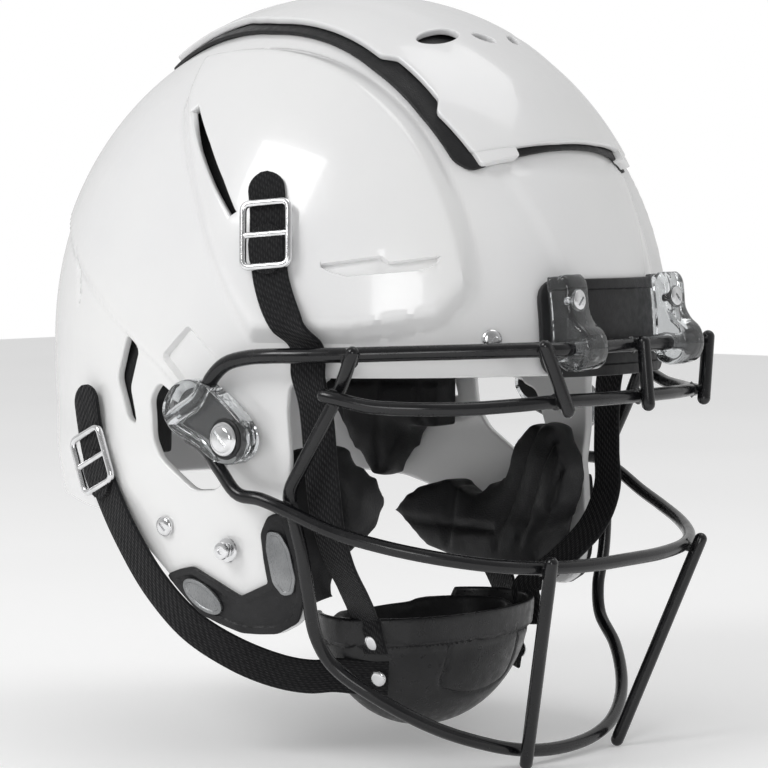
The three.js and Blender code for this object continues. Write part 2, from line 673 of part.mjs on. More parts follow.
// The jaw pad fills the cheek and its inner wing reaches forward of it, as (y, z).
const JAW_PAD = [
  [-34, -44], [-37, -64], [-38, -84], [-36, -104], [-22, -110], [-4, -106], [12, -94], [16, -84],
  [0, -68], [-16, -62], [-18, -50], [-26, -42],
];
const JAW_WING = [
  [-42, -36], [-57, -58], [-55, -72], [-42, -87], [-31, -100], [-20, -110], [8, -108], [34, -100],
  [52, -84], [42, -72], [20, -66], [2, -78], [-14, -66], [-15, -48], [-28, -38],
];
const JAW_PAD_DEPTH = 30;

function jawPad() {
  const cheek = solid(sidePlate(JAW_PAD, INNER - JAW_PAD_DEPTH + 4, INNER));
  const wing = solid(sidePlate(JAW_WING, INNER - JAW_PAD_DEPTH, INNER - 11));
  return fromSolid(cheek.add(wing));
}

addPair('jaw_pad', jawPad(), SOFT_PAD);

export default helmet;
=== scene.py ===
"""The looks of a football helmet with a hinged wire face mask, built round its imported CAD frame.

Shapes are worked out in millimetres and turned into metres when a mesh is made. The face looks
along -Y, +Z is up and -X is the wearer's right. Side outlines are lists of (y, z) points.
"""
import math

import bmesh
import bpy
import numpy as np
from mathutils import Matrix, Vector


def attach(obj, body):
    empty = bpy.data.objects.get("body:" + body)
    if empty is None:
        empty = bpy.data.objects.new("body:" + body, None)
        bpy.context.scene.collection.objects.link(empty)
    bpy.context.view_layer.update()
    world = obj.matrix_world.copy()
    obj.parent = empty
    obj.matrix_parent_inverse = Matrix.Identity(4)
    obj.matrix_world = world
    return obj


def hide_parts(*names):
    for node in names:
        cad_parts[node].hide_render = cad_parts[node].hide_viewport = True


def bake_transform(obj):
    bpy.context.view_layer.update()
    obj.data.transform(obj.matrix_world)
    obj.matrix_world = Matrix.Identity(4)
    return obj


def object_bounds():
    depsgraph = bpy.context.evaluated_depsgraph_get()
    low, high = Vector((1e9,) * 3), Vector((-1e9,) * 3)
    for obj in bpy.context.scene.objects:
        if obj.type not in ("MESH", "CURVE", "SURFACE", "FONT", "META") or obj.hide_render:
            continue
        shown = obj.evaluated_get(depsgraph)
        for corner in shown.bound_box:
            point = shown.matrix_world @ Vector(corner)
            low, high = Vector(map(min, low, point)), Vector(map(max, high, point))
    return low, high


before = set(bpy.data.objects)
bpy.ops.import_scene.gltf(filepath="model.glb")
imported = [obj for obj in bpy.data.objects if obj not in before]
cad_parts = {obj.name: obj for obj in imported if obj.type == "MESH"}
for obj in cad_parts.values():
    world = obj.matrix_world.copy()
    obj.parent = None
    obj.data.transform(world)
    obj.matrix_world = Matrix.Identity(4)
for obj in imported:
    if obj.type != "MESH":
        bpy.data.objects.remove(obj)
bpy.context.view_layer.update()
MM = 0.001
BODY = {
    "shell": "helmet", "mask": "face_mask", "cup": "chin_cup_unit",
    "right_release": "right_release_screw", "left_release": "left_release_screw",
}
RELEASES = ("right_release", "left_release")
SIDES = (("right", -1), ("left", 1))

# Driving dimensions, the same as the CAD part's
HALF_WIDTH, FRONT_DEPTH, REAR_DEPTH, CROWN_HEIGHT = 118, 139, 149, 147.5
SKIRT_FRONT, SKIRT_REAR, CENTRE_Y = 280, 150, 11
PLAN_POWER, RISE_POWER, FRONT_TAPER = 2.07, 2.08, 0.06
WALL = 4
RAIL_RADIUS, BAR_RADIUS = 3.1, 2.8
STRAP_WIDTH, STRAP_THICKNESS = 15.5, 1.8

# The side pods stand out about 2 mm more, with a shorter slope, than on the CAD shell
POD_LIFT, POD_BEVEL = 6.4, 7.5

# How far rounded rims of the shell and its openings reach past their outlines
RIM = 1.0


# ------------------------------------------------------------------ camera

CAMERA_BACK = Vector((-0.7797, -0.6246, 0.0454)).normalized()
CAMERA_DISTANCE = 1.25
CAMERA_LENS = 132.3
CAMERA_SHIFT = (0.0091, -0.0534)


def add_object(name, data):
    """A new object in the scene, holding the data."""
    thing = bpy.data.objects.new(name, data)
    bpy.context.scene.collection.objects.link(thing)
    return thing


def make_camera():
    data = bpy.data.cameras.new("camera")
    data.sensor_width = 36
    data.lens = CAMERA_LENS
    data.shift_x, data.shift_y = CAMERA_SHIFT
    data.dof.use_dof = False
    right = Vector((0, 0, 1)).cross(CAMERA_BACK).normalized()
    up = CAMERA_BACK.cross(right)
    camera = add_object("camera", data)
    turn = Matrix((right, up, CAMERA_BACK)).transposed().to_4x4()
    camera.matrix_world = Matrix.Translation(CAMERA_BACK * CAMERA_DISTANCE) @ turn
    bpy.context.scene.camera = camera


make_camera()


# ----------------------------------------------------------------- materials

class Shader:
    """A Principled material with its node tree, and short ways to add nodes."""

    def __init__(self, name, colour, roughness, metallic=0.0):
        self.material = bpy.data.materials.new(name)
        self.material.use_nodes = True
        self.tree = self.material.node_tree
        self.surface = self.tree.nodes["Principled BSDF"]
        self.set(Roughness=roughness, Metallic=metallic)
        self.surface.inputs["Base Color"].default_value = (*colour, 1)

    def set(self, **sockets):
        for name, value in sockets.items():
            self.surface.inputs[name.replace("_", " ")].default_value = value
        return self

    def node(self, kind, **settings):
        node = self.tree.nodes.new(kind)
        for name, value in settings.items():
            if name in node.inputs:
                node.inputs[name].default_value = value
            else:
                setattr(node, name, value)
        return node

    def link(self, source, target):
        self.tree.links.new(source, target)

    def place(self, stretch=(1, 1, 1), uv=False):
        """Object or UV coordinates, stretched."""
        coordinates = self.node("ShaderNodeTexCoord")
        mapping = self.node("ShaderNodeMapping", Scale=stretch)
        self.link(coordinates.outputs["UV" if uv else "Object"], mapping.inputs["Vector"])
        return mapping.outputs["Vector"]

    def noise(self, scale, detail=4.0, stretch=(1, 1, 1), uv=False):
        node = self.node("ShaderNodeTexNoise", Scale=scale, Detail=detail)
        self.link(self.place(stretch, uv), node.inputs["Vector"])
        return node.outputs["Fac"]

    def grain(self, scale):
        node = self.node("ShaderNodeTexVoronoi", Scale=scale)
        self.link(self.place(), node.inputs["Vector"])
        return node.outputs["Distance"]

    def ramp(self, factor, low, high, start=0.35, end=0.65):
        node = self.node("ShaderNodeMapRange")
        self.link(factor, node.inputs["Value"])
        for name, value in (("From Min", start), ("From Max", end), ("To Min", low), ("To Max", high)):
            node.inputs[name].default_value = value
        return node.outputs["Result"]

    def vary_roughness(self, factor, low, high, start=0.35, end=0.65):
        self.link(self.ramp(factor, low, high, start, end), self.surface.inputs["Roughness"])
        return self

    def vary_colour(self, factor, low, high):
        node = self.node("ShaderNodeMix", data_type="RGBA")
        self.link(factor, node.inputs["Factor"])
        colours = [socket for socket in node.inputs if socket.type == "RGBA"]
        for socket, colour in zip(colours, (low, high)):
            socket.default_value = (*colour, 1)
        result = [socket for socket in node.outputs if socket.type == "RGBA"][0]
        self.link(result, self.surface.inputs["Base Color"])
        return self

    def mottle(self, scale, low, high):
        """Soft patches between two colours."""
        return self.vary_colour(self.ramp(self.noise(scale), 0, 1), low, high)

    def bump(self, height, depth_mm):
        node = self.node("ShaderNodeBump", Strength=1.0, Distance=depth_mm * MM)
        self.link(height, node.inputs["Height"])
        previous = self.surface.inputs["Normal"].links
        if previous:
            self.link(previous[0].from_socket, node.inputs["Normal"])
        self.link(node.outputs["Normal"], self.surface.inputs["Normal"])
        return self


def shell_material():
    shader = Shader("gloss_white_shell", (0.82, 0.82, 0.82), 0.2)
    shader.set(Coat_Weight=0.5, Coat_Roughness=0.06)
    shader.mottle(9, (0.80, 0.80, 0.805), (0.84, 0.84, 0.835))
    shader.vary_roughness(shader.noise(45, 6), 0.17, 0.27)
    shader.bump(shader.noise(260, 2), 0.05)
    return shader.material


def trim_material():
    shader = Shader("black_rubber_trim", (0.018, 0.018, 0.019), 0.5)
    shader.mottle(60, (0.007, 0.007, 0.008), (0.017, 0.017, 0.018))
    shader.set(Specular_IOR_Level=0.35)
    shader.vary_roughness(shader.noise(300, 5), 0.36, 0.52)
    shader.bump(shader.grain(1800), 0.08)
    return shader.material


def wire_material():
    shader = Shader("black_vinyl_wire", (0.012, 0.012, 0.013), 0.26)
    shader.set(Coat_Weight=0.25, Coat_Roughness=0.12, Specular_IOR_Level=0.35)
    shader.mottle(40, (0.004, 0.004, 0.005), (0.010, 0.010, 0.011))
    shader.vary_roughness(shader.noise(220, 5), 0.16, 0.3)
    shader.bump(shader.noise(420, 3), 0.04)
    return shader.material


def clip_material():
    shader = Shader("clear_clip", (0.8, 0.82, 0.83), 0.03)
    shader.set(Transmission_Weight=0.97, IOR=1.49)
    shader.vary_roughness(shader.noise(120, 4), 0.0, 0.06)
    shader.bump(shader.noise(110, 2), 0.1)
    return shader.material


def chrome_material():
    shader = Shader("polished_steel", (0.78, 0.785, 0.79), 0.12, metallic=1)
    shader.mottle(150, (0.70, 0.705, 0.71), (0.84, 0.84, 0.85))
    shader.vary_roughness(shader.noise(500, 6, (1, 1, 5)), 0.06, 0.24)
    shader.bump(shader.noise(900, 4, (1, 1, 6)), 0.015)
    return shader.material


WEAVE_RIB = 1.1
WEAVE_PICK = 1.5


def webbing_material():
    """Flat polyester webbing; UV is millimetres across and along the strap."""
    shader = Shader("black_webbing", (0.016, 0.016, 0.017), 0.75)
    shader.set(Sheen_Weight=0.08, Sheen_Roughness=0.5, Specular_IOR_Level=0.25)
    ribs = shader.node("ShaderNodeTexWave", Scale=1 / WEAVE_RIB, Distortion=0.15, bands_direction="X")
    picks = shader.node("ShaderNodeTexWave", Scale=1 / WEAVE_PICK, Distortion=0.4, bands_direction="DIAGONAL")
    for wave in (ribs, picks):
        shader.link(shader.place((0.32, 0.32, 0.32), uv=True), wave.inputs["Vector"])
    both = shader.node("ShaderNodeMath", operation="MULTIPLY")
    shader.link(ribs.outputs["Fac"], both.inputs[0])
    shader.link(picks.outputs["Fac"], both.inputs[1])
    shader.vary_colour(both.outputs["Value"], (0.004, 0.004, 0.005), (0.018, 0.018, 0.019))
    shader.vary_roughness(shader.noise(0.6, 5, uv=True), 0.62, 0.88)
    shader.bump(both.outputs["Value"], 0.35)
    shader.bump(shader.noise(2.5, 4, uv=True), 0.1)
    return shader.material


def cup_material():
    shader = Shader("black_moulded_cup", (0.02, 0.02, 0.021), 0.42)
    shader.mottle(50, (0.008, 0.008, 0.009), (0.019, 0.019, 0.02))
    shader.set(Specular_IOR_Level=0.4)
    shader.vary_roughness(shader.noise(260, 5), 0.26, 0.42)
    shader.bump(shader.grain(1500), 0.06)
    return shader.material


def liner_material():
    shader = Shader("black_liner_vinyl", (0.016, 0.016, 0.017), 0.6)
    shader.set(Sheen_Weight=0.05, Sheen_Roughness=0.4, Specular_IOR_Level=0.28)
    shader.mottle(35, (0.007, 0.007, 0.008), (0.018, 0.018, 0.019))
    shader.vary_roughness(shader.noise(140, 5), 0.42, 0.62)
    shader.bump(shader.grain(1300), 0.12)
    shader.bump(shader.noise(90, 3), 0.25)
    return shader.material


def badge_material():
    shader = Shader("satin_badge", (0.5, 0.51, 0.52), 0.3, metallic=0.7)
    shader.mottle(80, (0.2, 0.205, 0.21), (0.3, 0.305, 0.31))
    shader.vary_roughness(shader.noise(600, 4, (1, 8, 1)), 0.24, 0.42)
    shader.bump(shader.noise(700, 3, (1, 8, 1)), 0.03)
    return shader.material


MATERIALS = {
    "shell": shell_material(), "trim": trim_material(), "wire": wire_material(), "clip": clip_material(),
    "hardware": chrome_material(), "webbing": webbing_material(), "cup": cup_material(),
    "liner": liner_material(), "badge": badge_material(),
}


# ---------------------------------------------------------------- shell form

def points(*columns):
    """An array of points from coordinates that may be arrays or single numbers."""
    return np.stack(np.broadcast_arrays(*[np.asarray(column, float) for column in columns]), axis=-1)


def smooth_step(value):
    t = np.clip(value, 0, 1)
    return t * t * (3 - 2 * t)


def signed_power(value, exponent):
    return np.sign(value) * np.abs(value) ** exponent


def plan_depth(y, lift):
    return np.where(y < 0, FRONT_DEPTH, REAR_DEPTH) + lift


def taper(y):
    return 1 - FRONT_TAPER * np.clip(-y / FRONT_DEPTH, 0, 1) ** 2


def vertical_reach(y, above, lift):
    skirt = SKIRT_FRONT + (SKIRT_REAR - SKIRT_FRONT) * np.clip(y / REAR_DEPTH, 0, 1) ** 2
    return np.where(above, CROWN_HEIGHT, skirt) + lift


def is_inside(point, lift):
    """Whether points lie within the shell's outer surface grown by lift."""
    x, y, z = point[..., 0], point[..., 1] - CENTRE_Y, point[..., 2]
    across = np.abs(x / ((HALF_WIDTH + lift) * taper(y))) ** PLAN_POWER
    along = np.abs(y / plan_depth(y, lift)) ** PLAN_POWER
    radius = (across + along) ** (1 / PLAN_POWER)
    height = np.abs(z / vertical_reach(y, z > 0, lift))
    return radius ** RISE_POWER + height ** RISE_POWER < 1


def project(start, direction, lift):
    """Where rays from inside leave the surface grown by lift."""
    direction = direction / np.linalg.norm(direction, axis=-1, keepdims=True)
    near = np.zeros(np.broadcast_shapes(start.shape, direction.shape)[:-1])
    far = near + 400
    for _ in range(36):
        middle = (near + far) / 2
        inside = is_inside(start + direction * middle[..., None], lift)
        near, far = np.where(inside, middle, near), np.where(inside, far, middle)
    return start + direction * near[..., None]


def on_side(y, z, lift, side=-1):
    return project(points(0, y, z), points(side, 0 * y, 0), lift)


def on_front(x, z, lift):
    return project(points(x, CENTRE_Y, z), points(0 * x, -1, 0), lift)


def on_rear(x, z, lift):
    return project(points(x, CENTRE_Y, z), points(0 * x, 1, 0), lift)


def on_crown(x, angle, lift):
    """Angle runs from 0 at the face over the crown to 180 degrees at the nape."""
    turn = np.radians(angle)
    return project(points(x, CENTRE_Y, 0), points(0 * turn, -np.cos(turn), np.sin(turn)), lift)


def open_distance(y, z, line):
    """Distance to an open line of points."""
    nearest = np.full(np.shape(y), np.inf)
    for (y0, z0), (y1, z1) in zip(line, line[1:]):
        dy, dz = y1 - y0, z1 - z0
        along = np.clip(((y - y0) * dy + (z - z0) * dz) / (dy * dy + dz * dz), 0, 1)
        nearest = np.minimum(nearest, np.hypot(y - y0 - along * dy, z - z0 - along * dz))
    return nearest


def signed_distance(y, z, outline):
    """Distance to a closed outline, positive inside."""
    nearest = open_distance(y, z, outline + outline[:1])
    within = np.zeros(np.shape(y), bool)
    for (y0, z0), (y1, z1) in zip(outline, outline[1:] + outline[:1]):
        if z1 != z0:
            within ^= ((z0 > z) != (z1 > z)) & (y < (y1 - y0) * (z - z0) / (z1 - z0) + y0)
    return np.where(within, nearest, -nearest)


def rounded(outline, radius, steps=5):
    """The outline with each corner turned into a short curve."""
    result = []
    for index, corner in enumerate(outline):
        here = np.array(corner, float)
        before = np.array(outline[index - 1], float) - here
        after = np.array(outline[(index + 1) % len(outline)], float) - here
        back = here + before * min(radius / np.linalg.norm(before), 0.45)
        ahead = here + after * min(radius / np.linalg.norm(after), 0.45)
        for t in np.linspace(0, 1, steps + 1):
            blended = back * (1 - t) ** 2 + here * 2 * t * (1 - t) + ahead * t * t
            result.append(tuple(blended))
    return result


def inset(outline, distance):
    """The outline moved inwards by a distance."""
    corners = np.array(outline, float)
    following = np.roll(corners, -1, axis=0)
    area = np.sum(corners[:, 0] * following[:, 1] - following[:, 0] * corners[:, 1])
    edge = following - corners
    edge /= np.linalg.norm(edge, axis=1, keepdims=True)
    normal = np.stack([-edge[:, 1], edge[:, 0]], axis=1) * np.sign(area)
    both = normal + np.roll(normal, 1, axis=0)
    both /= np.maximum(np.sum(both * both, axis=1, keepdims=True), 0.4) / 2
    return [tuple(corner) for corner in corners + both * distance]


# ------------------------------------------------------------- mesh helpers

def make_object(name, vertices, faces, slot, body=None, smooth_angle=35):
    """A new piece from points in millimetres. It rides on the body, if one is given."""
    mesh = bpy.data.meshes.new(name)
    mesh.from_pydata((np.asarray(vertices, float) * MM).tolist(), [], faces)
    return finish_object(name, mesh, slot, body, smooth_angle)


def finish_object(name, mesh, slot, body, smooth_angle=35):
    mesh.validate()
    mesh.polygons.foreach_set("use_smooth", [True] * len(mesh.polygons))
    mesh.set_sharp_from_angle(angle=math.radians(smooth_angle))
    piece = add_object(name, mesh)
    mesh.materials.clear()
    mesh.materials.append(MATERIALS[slot])
    if body:
        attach(piece, BODY[body])
    return piece


def from_bmesh(name, bm, slot, body=None, smooth_angle=35):
    """A new piece from a bmesh in millimetres."""
    bmesh.ops.recalc_face_normals(bm, faces=bm.faces[:])
    bmesh.ops.scale(bm, vec=(MM, MM, MM), verts=bm.verts[:])
    mesh = bpy.data.meshes.new(name)
    bm.to_mesh(mesh)
    bm.free()
    return finish_object(name, mesh, slot, body, smooth_angle)


def apply_modifiers(piece):
    evaluated = piece.evaluated_get(bpy.context.evaluated_depsgraph_get())
    mesh = bpy.data.meshes.new_from_object(evaluated)
    piece.modifiers.clear()
    old, piece.data = piece.data, mesh
    bpy.data.meshes.remove(old)
    return piece


def carve(piece, cutter, operation="DIFFERENCE"):
    """A boolean of piece by cutter, which is used up."""
    modifier = piece.modifiers.new("carve", "BOOLEAN")
    modifier.object = cutter
    modifier.operation = operation
    modifier.solver = "EXACT"
    apply_modifiers(piece)
    bpy.data.objects.remove(cutter)
    piece.data.set_sharp_from_angle(angle=math.radians(35))
    return piece


def mirror_of(piece, name, body):
    """The piece's mirror image on the wearer's left."""
    mesh = piece.data.copy()
    mesh.transform(Matrix.Scale(-1, 4, (1, 0, 0)))
    mesh.flip_normals()
    twin = add_object(name, mesh)
    if body:
        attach(twin, BODY[body])
    return twin


def pair(name, piece, body, nodes=None):
    """Finishes a right-hand piece and adds its mirror image; both replace their CAD nodes.

    body is one body for both, or one for each side.
    """
    piece.name = f"{name}_right_look"
    right_body, left_body = body if isinstance(body, tuple) else (body, body)
    if right_body:
        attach(piece, BODY[right_body])
    twin = mirror_of(piece, f"{name}_left_look", left_body)
    for node in nodes if nodes is not None else [name]:
        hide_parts(f"{node}_right")
        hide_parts(f"{node}_left")
    return piece, twin


def flat_grid(outline, step):
    """A bmesh grid of squares over an outline; u is stored as y and v as z."""
    low = np.min(outline, axis=0) - step * 0.37
    high = np.max(outline, axis=0) + step * 0.37
    counts = np.maximum(np.ceil((high - low) / step).astype(int), 2)
    bm = bmesh.new()
    rows = [[bm.verts.new((0, low[0] + (high[0] - low[0]) * i / counts[0],
                           low[1] + (high[1] - low[1]) * j / counts[1]))
             for i in range(counts[0] + 1)] for j in range(counts[1] + 1)]
    for lower, upper in zip(rows, rows[1:]):
        for i in range(counts[0]):
            bm.faces.new((lower[i], lower[i + 1], upper[i + 1], upper[i]))
    return bm


def face_boxes(faces):
    boxes = []
    for face in faces:
        ys = [vert.co.y for vert in face.verts]
        zs = [vert.co.z for vert in face.verts]
        boxes.append((min(ys), min(zs), max(ys), max(zs)))
    return np.array(boxes).reshape(-1, 4)


def cut_along(bm, *outlines):
    """Splits faces along each edge of the outlines, by planes that hold the X axis direction."""
    faces = bm.faces[:]
    boxes = face_boxes(faces)
    lines = [line for outline in outlines for line in zip(outline, outline[1:] + outline[:1])]
    for start, end in lines:
        low = np.minimum(start, end) - 0.05
        high = np.maximum(start, end) + 0.05
        hits = np.all(boxes[:, :2] < high, axis=1) & np.all(boxes[:, 2:] > low, axis=1)
        near = {faces[index] for index in np.nonzero(hits)[0] if faces[index].is_valid}
        if not near:
            continue
        edges = {edge for face in near for edge in face.edges}
        verts = {vert for face in near for vert in face.verts}
        cut = bmesh.ops.bisect_plane(
            bm, geom=[*verts, *edges, *near], dist=1e-3,
            plane_co=(0, start[0], start[1]),
            plane_no=(0, end[1] - start[1], start[0] - end[0]))
        fresh = [item for item in cut["geom"] if isinstance(item, bmesh.types.BMFace)]
        faces.extend(fresh)
        boxes = np.concatenate([boxes, face_boxes(fresh)])
    return bm


def drop_faces(bm, outline, inside):
    """Deletes the faces whose middles are inside, or outside, an outline."""
    faces = bm.faces[:]
    middles = np.array([face.calc_center_median()[:] for face in faces])
    within = signed_distance(middles[:, 1], middles[:, 2], outline) > 0
    doomed = [face for face, hit in zip(faces, within) if hit == inside]
    bmesh.ops.delete(bm, geom=doomed, context="FACES")
    return bm


def move_verts(bm, place):
    """Moves every vertex: place takes the (y, z) arrays and gives an array of points."""
    verts = bm.verts[:]
    coordinates = np.array([vert.co[:] for vert in verts])
    for vert, target in zip(verts, place(coordinates[:, 1], coordinates[:, 2])):
        vert.co = target
    return bm


def thicken(bm, thickness, radius, steps=3):
    """Gives an open sheet a thickness inwards, with rounded rims."""
    bmesh.ops.recalc_face_normals(bm, faces=bm.faces[:])
    bm.normal_update()
    face = max(bm.faces, key=lambda item: item.calc_area())
    if face.normal.dot(face.calc_center_median() - Vector((0, CENTRE_Y, 0))) < 0:
        bmesh.ops.reverse_faces(bm, faces=bm.faces[:])
        bm.normal_update()
    top = bm.faces[:]
    borders = [edge for edge in bm.edges if edge.is_boundary]
    normals = {vert: vert.normal.copy() for vert in bm.verts}
    outwards = {}
    for edge in borders:
        face = edge.link_faces[0]
        away = (edge.verts[1].co - edge.verts[0].co).cross(face.normal).normalized()
        middle = (edge.verts[0].co + edge.verts[1].co) / 2
        if away.dot(face.calc_center_median() - middle) > 0:
            away.negate()
        for vert in edge.verts:
            outwards[vert] = outwards.get(vert, Vector()) + away
    inner = {vert: bm.verts.new(vert.co - normals[vert] * thickness) for vert in normals}
    for face in top:
        bm.faces.new([inner[vert] for vert in reversed(face.verts)])
    chains = {}
    for vert, away in outwards.items():
        normal = normals[vert]
        away = (away - normal * away.dot(normal)).normalized()
        chain = [vert]
        angles = [math.pi / 2 * step / steps for step in range(1, steps + 1)]
        for base, sign, turns in ((vert.co, -1, angles), (inner[vert].co, 1, angles[::-1])):
            for turn in turns:
                shift = away * radius * math.sin(turn) + normal * sign * radius * (1 - math.cos(turn))
                chain.append(bm.verts.new(base + shift))
        chains[vert] = [*chain, inner[vert]]
    for edge in borders:
        one, two = (chains[vert] for vert in edge.verts)
        for row in range(len(one) - 1):
            bm.faces.new((one[row], two[row], two[row + 1], one[row + 1]))
    return bm


def plate(name, outline, step, place, thickness, radius, slot, body=None, holes=(), creases=()):
    """A curved plate: an outline cut from a flat grid, laid in place and given a thickness."""
    bm = flat_grid(outline, step)
    cut_along(bm, outline, *holes, *creases)
    drop_faces(bm, outline, inside=False)
    for hole in holes:
        drop_faces(bm, hole, inside=True)
    move_verts(bm, place)
    return from_bmesh(name, thicken(bm, thickness, radius), slot, body)


# ------------------------------------------------------- curves and sweeps

def smooth_path(control, count):
    """Evenly placed points and directions along a centripetal Catmull-Rom curve."""
    knots = np.array(control, float)
    ends = [2 * knots[0] - knots[1], 2 * knots[-1] - knots[-2]]
    padded = np.array([ends[0], *knots, ends[1]])
    dense = []
    for index in range(len(knots) - 1):
        p0, p1, p2, p3 = padded[index:index + 4]
        t1 = np.linalg.norm(p1 - p0) ** 0.5
        t2 = t1 + np.linalg.norm(p2 - p1) ** 0.5
        t3 = t2 + np.linalg.norm(p3 - p2) ** 0.5
        t = np.linspace(t1, t2, 24, endpoint=index == len(knots) - 2)[:, None]
        a1 = p0 + (p1 - p0) * t / t1
        a2 = p1 + (p2 - p1) * (t - t1) / (t2 - t1)
        a3 = p2 + (p3 - p2) * (t - t2) / (t3 - t2)
        b1 = a1 + (a2 - a1) * t / t2
        b2 = a2 + (a3 - a2) * (t - t1) / (t3 - t1)
        dense.extend(b1 + (b2 - b1) * (t - t1) / (t2 - t1))
    dense = np.array(dense)
    length = np.concatenate([[0], np.cumsum(np.linalg.norm(np.diff(dense, axis=0), axis=1))])
    even = np.linspace(0, length[-1], count)
    path = np.stack([np.interp(even, length, dense[:, axis]) for axis in range(3)], axis=1)
    return path, even


def directions(path, closed=False):
    ahead = np.roll(path, -1, axis=0) - np.roll(path, 1, axis=0)
    if not closed:
        ahead[0], ahead[-1] = path[1] - path[0], path[-1] - path[-2]
    return ahead / np.linalg.norm(ahead, axis=1, keepdims=True)


def frames_along(path, closed=False):
    """Two cross directions along a path, turned as little as possible."""
    ahead = directions(path, closed)
    side = np.cross(ahead[0], (0.3, 0.2, 1))
    sides = []
    for tangent in ahead:
        side = side - tangent * side.dot(tangent)
        side /= np.linalg.norm(side)
        sides.append(side)
    return np.array(sides), np.cross(ahead, sides)


def tube_mesh(path, radii, around=20, closed=False):
    """Vertices and faces of a round tube with a radius for each point of the path."""
    sides, ups = frames_along(path, closed)
    turns = np.linspace(0, 2 * math.pi, around, endpoint=False)
    rings = [centre + radius * (np.outer(np.cos(turns), side) + np.outer(np.sin(turns), up))
             for centre, radius, side, up in zip(path, radii, sides, ups)]
    faces = []
    rows = len(rings)
    for row in range(rows if closed else rows - 1):
        here, following = row * around, (row + 1) % rows * around
        for column in range(around):
            across = (column + 1) % around
            faces.append((here + column, here + across, following + across, following + column))
    if not closed:
        faces.append(tuple(range(around))[::-1])
        faces.append(tuple(range((rows - 1) * around, rows * around)))
    return np.concatenate(rings), faces


def round_ended(control, radius, spacing=2.5):
    """A path and radii for a wire whose ends are half balls."""
    length = smooth_path(control, 200)[1][-1]
    path, along = smooth_path(control, max(int(length / spacing), 6))
    ahead = directions(path)
    turns = np.radians([8, 22, 40, 60, 78])
    radii = list(radius * np.sin(turns))
    start = [path[0] + ahead[0] * radius * (1 - math.cos(turn)) for turn in turns]
    end = [path[-1] - ahead[-1] * radius * (1 - math.cos(turn)) for turn in turns[::-1]]
    keep = (along > radius) & (along < along[-1] - radius)
    middle = path[keep]
    return (np.array([*start, *middle, *end]),
            np.array([*radii, *([radius] * len(middle)), *radii[::-1]]))


def wire(name, control, radius, body="mask"):
    path, radii = round_ended(control, radius)
    vertices, faces = tube_mesh(path, radii)
    piece = make_object(f"{name}_look", vertices, faces, "wire", body, 50)
    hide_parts(name)
    return piece


def turned(name, profile, centre, direction, slot, segments=48):
    """A turned piece on an axis through centre; profile is (radius, height) pairs."""
    turn = Vector(direction).normalized().to_track_quat("Z", "Y").to_matrix()
    angles = [2 * math.pi * column / segments for column in range(segments)]
    bm = bmesh.new()
    rings = []
    for radius, height in profile:
        spots = [Vector((radius * math.cos(angle), radius * math.sin(angle), height)) for angle in angles]
        rings.append([bm.verts.new(Vector(centre) + turn @ spot) for spot in spots])
    for lower, upper in zip(rings, rings[1:]):
        for column in range(segments):
            across = (column + 1) % segments
            bm.faces.new((lower[column], lower[across], upper[across], upper[column]))
    bmesh.ops.remove_doubles(bm, verts=bm.verts[:], dist=1e-3)
    bmesh.ops.holes_fill(bm, edges=bm.edges[:], sides=segments)
    return from_bmesh(name, bm, slot)


def box_piece(name, centre, axes, sizes, slot):
    """A block with its edges along three axes."""
    corners = [(a, b, c) for a in (-1, 1) for b in (-1, 1) for c in (-1, 1)]
    vertices = [sum((Vector(axis) * size / 2 * sign for axis, size, sign in zip(axes, sizes, corner)),
                    Vector(centre)) for corner in corners]
    faces = [(0, 1, 3, 2), (4, 6, 7, 5), (0, 4, 5, 1), (2, 3, 7, 6), (0, 2, 6, 4), (1, 5, 7, 3)]
    return make_object(name, vertices, faces, slot)


def slotted(piece, top, direction, length, width, depth, cross):
    """Cuts a screwdriver slot, or a cross, into a screw head whose top is at top."""
    axis = Vector(direction).normalized()
    one = axis.orthogonal().normalized()
    two = axis.cross(one)
    for along, across in ((one, two), (two, one))[:2 if cross else 1]:
        sizes = (length, width, 2 * depth)
        carve(piece, box_piece("slot_cutter", top, (along, across, axis), sizes, "hardware"))
    return piece


# --------------------------------------------------------------------- shell

SIDE_OUTLINE = [
    (-220, 220), (-220, -7), (-62, -8), (-47, -8), (-41, -12), (-40, -22), (-41, -42), (-39, -58),
    (-41, -66), (-44, -84), (-44, -100), (-41, -109), (-32, -114), (-16, -114.5), (4, -108),
    (20, -94), (32, -84), (48, -75), (66, -69), (100, -66), (220, -68), (220, 220),
]
POD = [
    (-94, 72), (-100, 64), (-104, 50), (-105, 27), (-95, 11), (-66, 5), (-25, 5),
    (-13, 22), (-1, 42), (11, 63), (25, 84), (36, 101), (45, 128), (0, 150), (-50, 130), (-80, 96),
]
EAR_HOLE = [
    (24, -13), (30, -20), (28, -36), (22, -45), (4, -57), (-8, -56), (-14, -46), (-6, -26), (12, -20),
]
SLOT_VENT = [(45, 6), (37, 0), (43, -16), (39, -31), (45, -29), (52, -12)]
SLIT_VENT = [(20, 99), (5, 83), (-7.5, 68), (-17, 55), (-13.5, 52.5), (-1.5, 65.5), (10.5, 79.5), (24, 95.5)]
VENT_LINING = [(32, 104), (2, 92), (-26, 60), (-24, 44), (-8, 44), (30, 84)]
BROW_RECESS = [
    (-52.8, 35.3), (-72.8, 38.6), (-75.8, 36.2), (-90.5, 38.6), (-90.3, 35.5), (-86, 32.8),
    (-78.2, 32), (-62.6, 30.4), (-57, 32), (-53.2, 34),
]
BROW_RECESS_TOP = BROW_RECESS[:4]
CHEEK_RECESS = [(5.3, 11.5), (19, -0.5), (19.3, -3), (2, -19), (-14, -5)]
REAR_PANEL = [
    (150, 72), (115, 55), (91, 39), (63, 21), (40, 6), (21, -6), (7, -17.5), (-8, -30),
    (-8, -140), (150, -140),
]
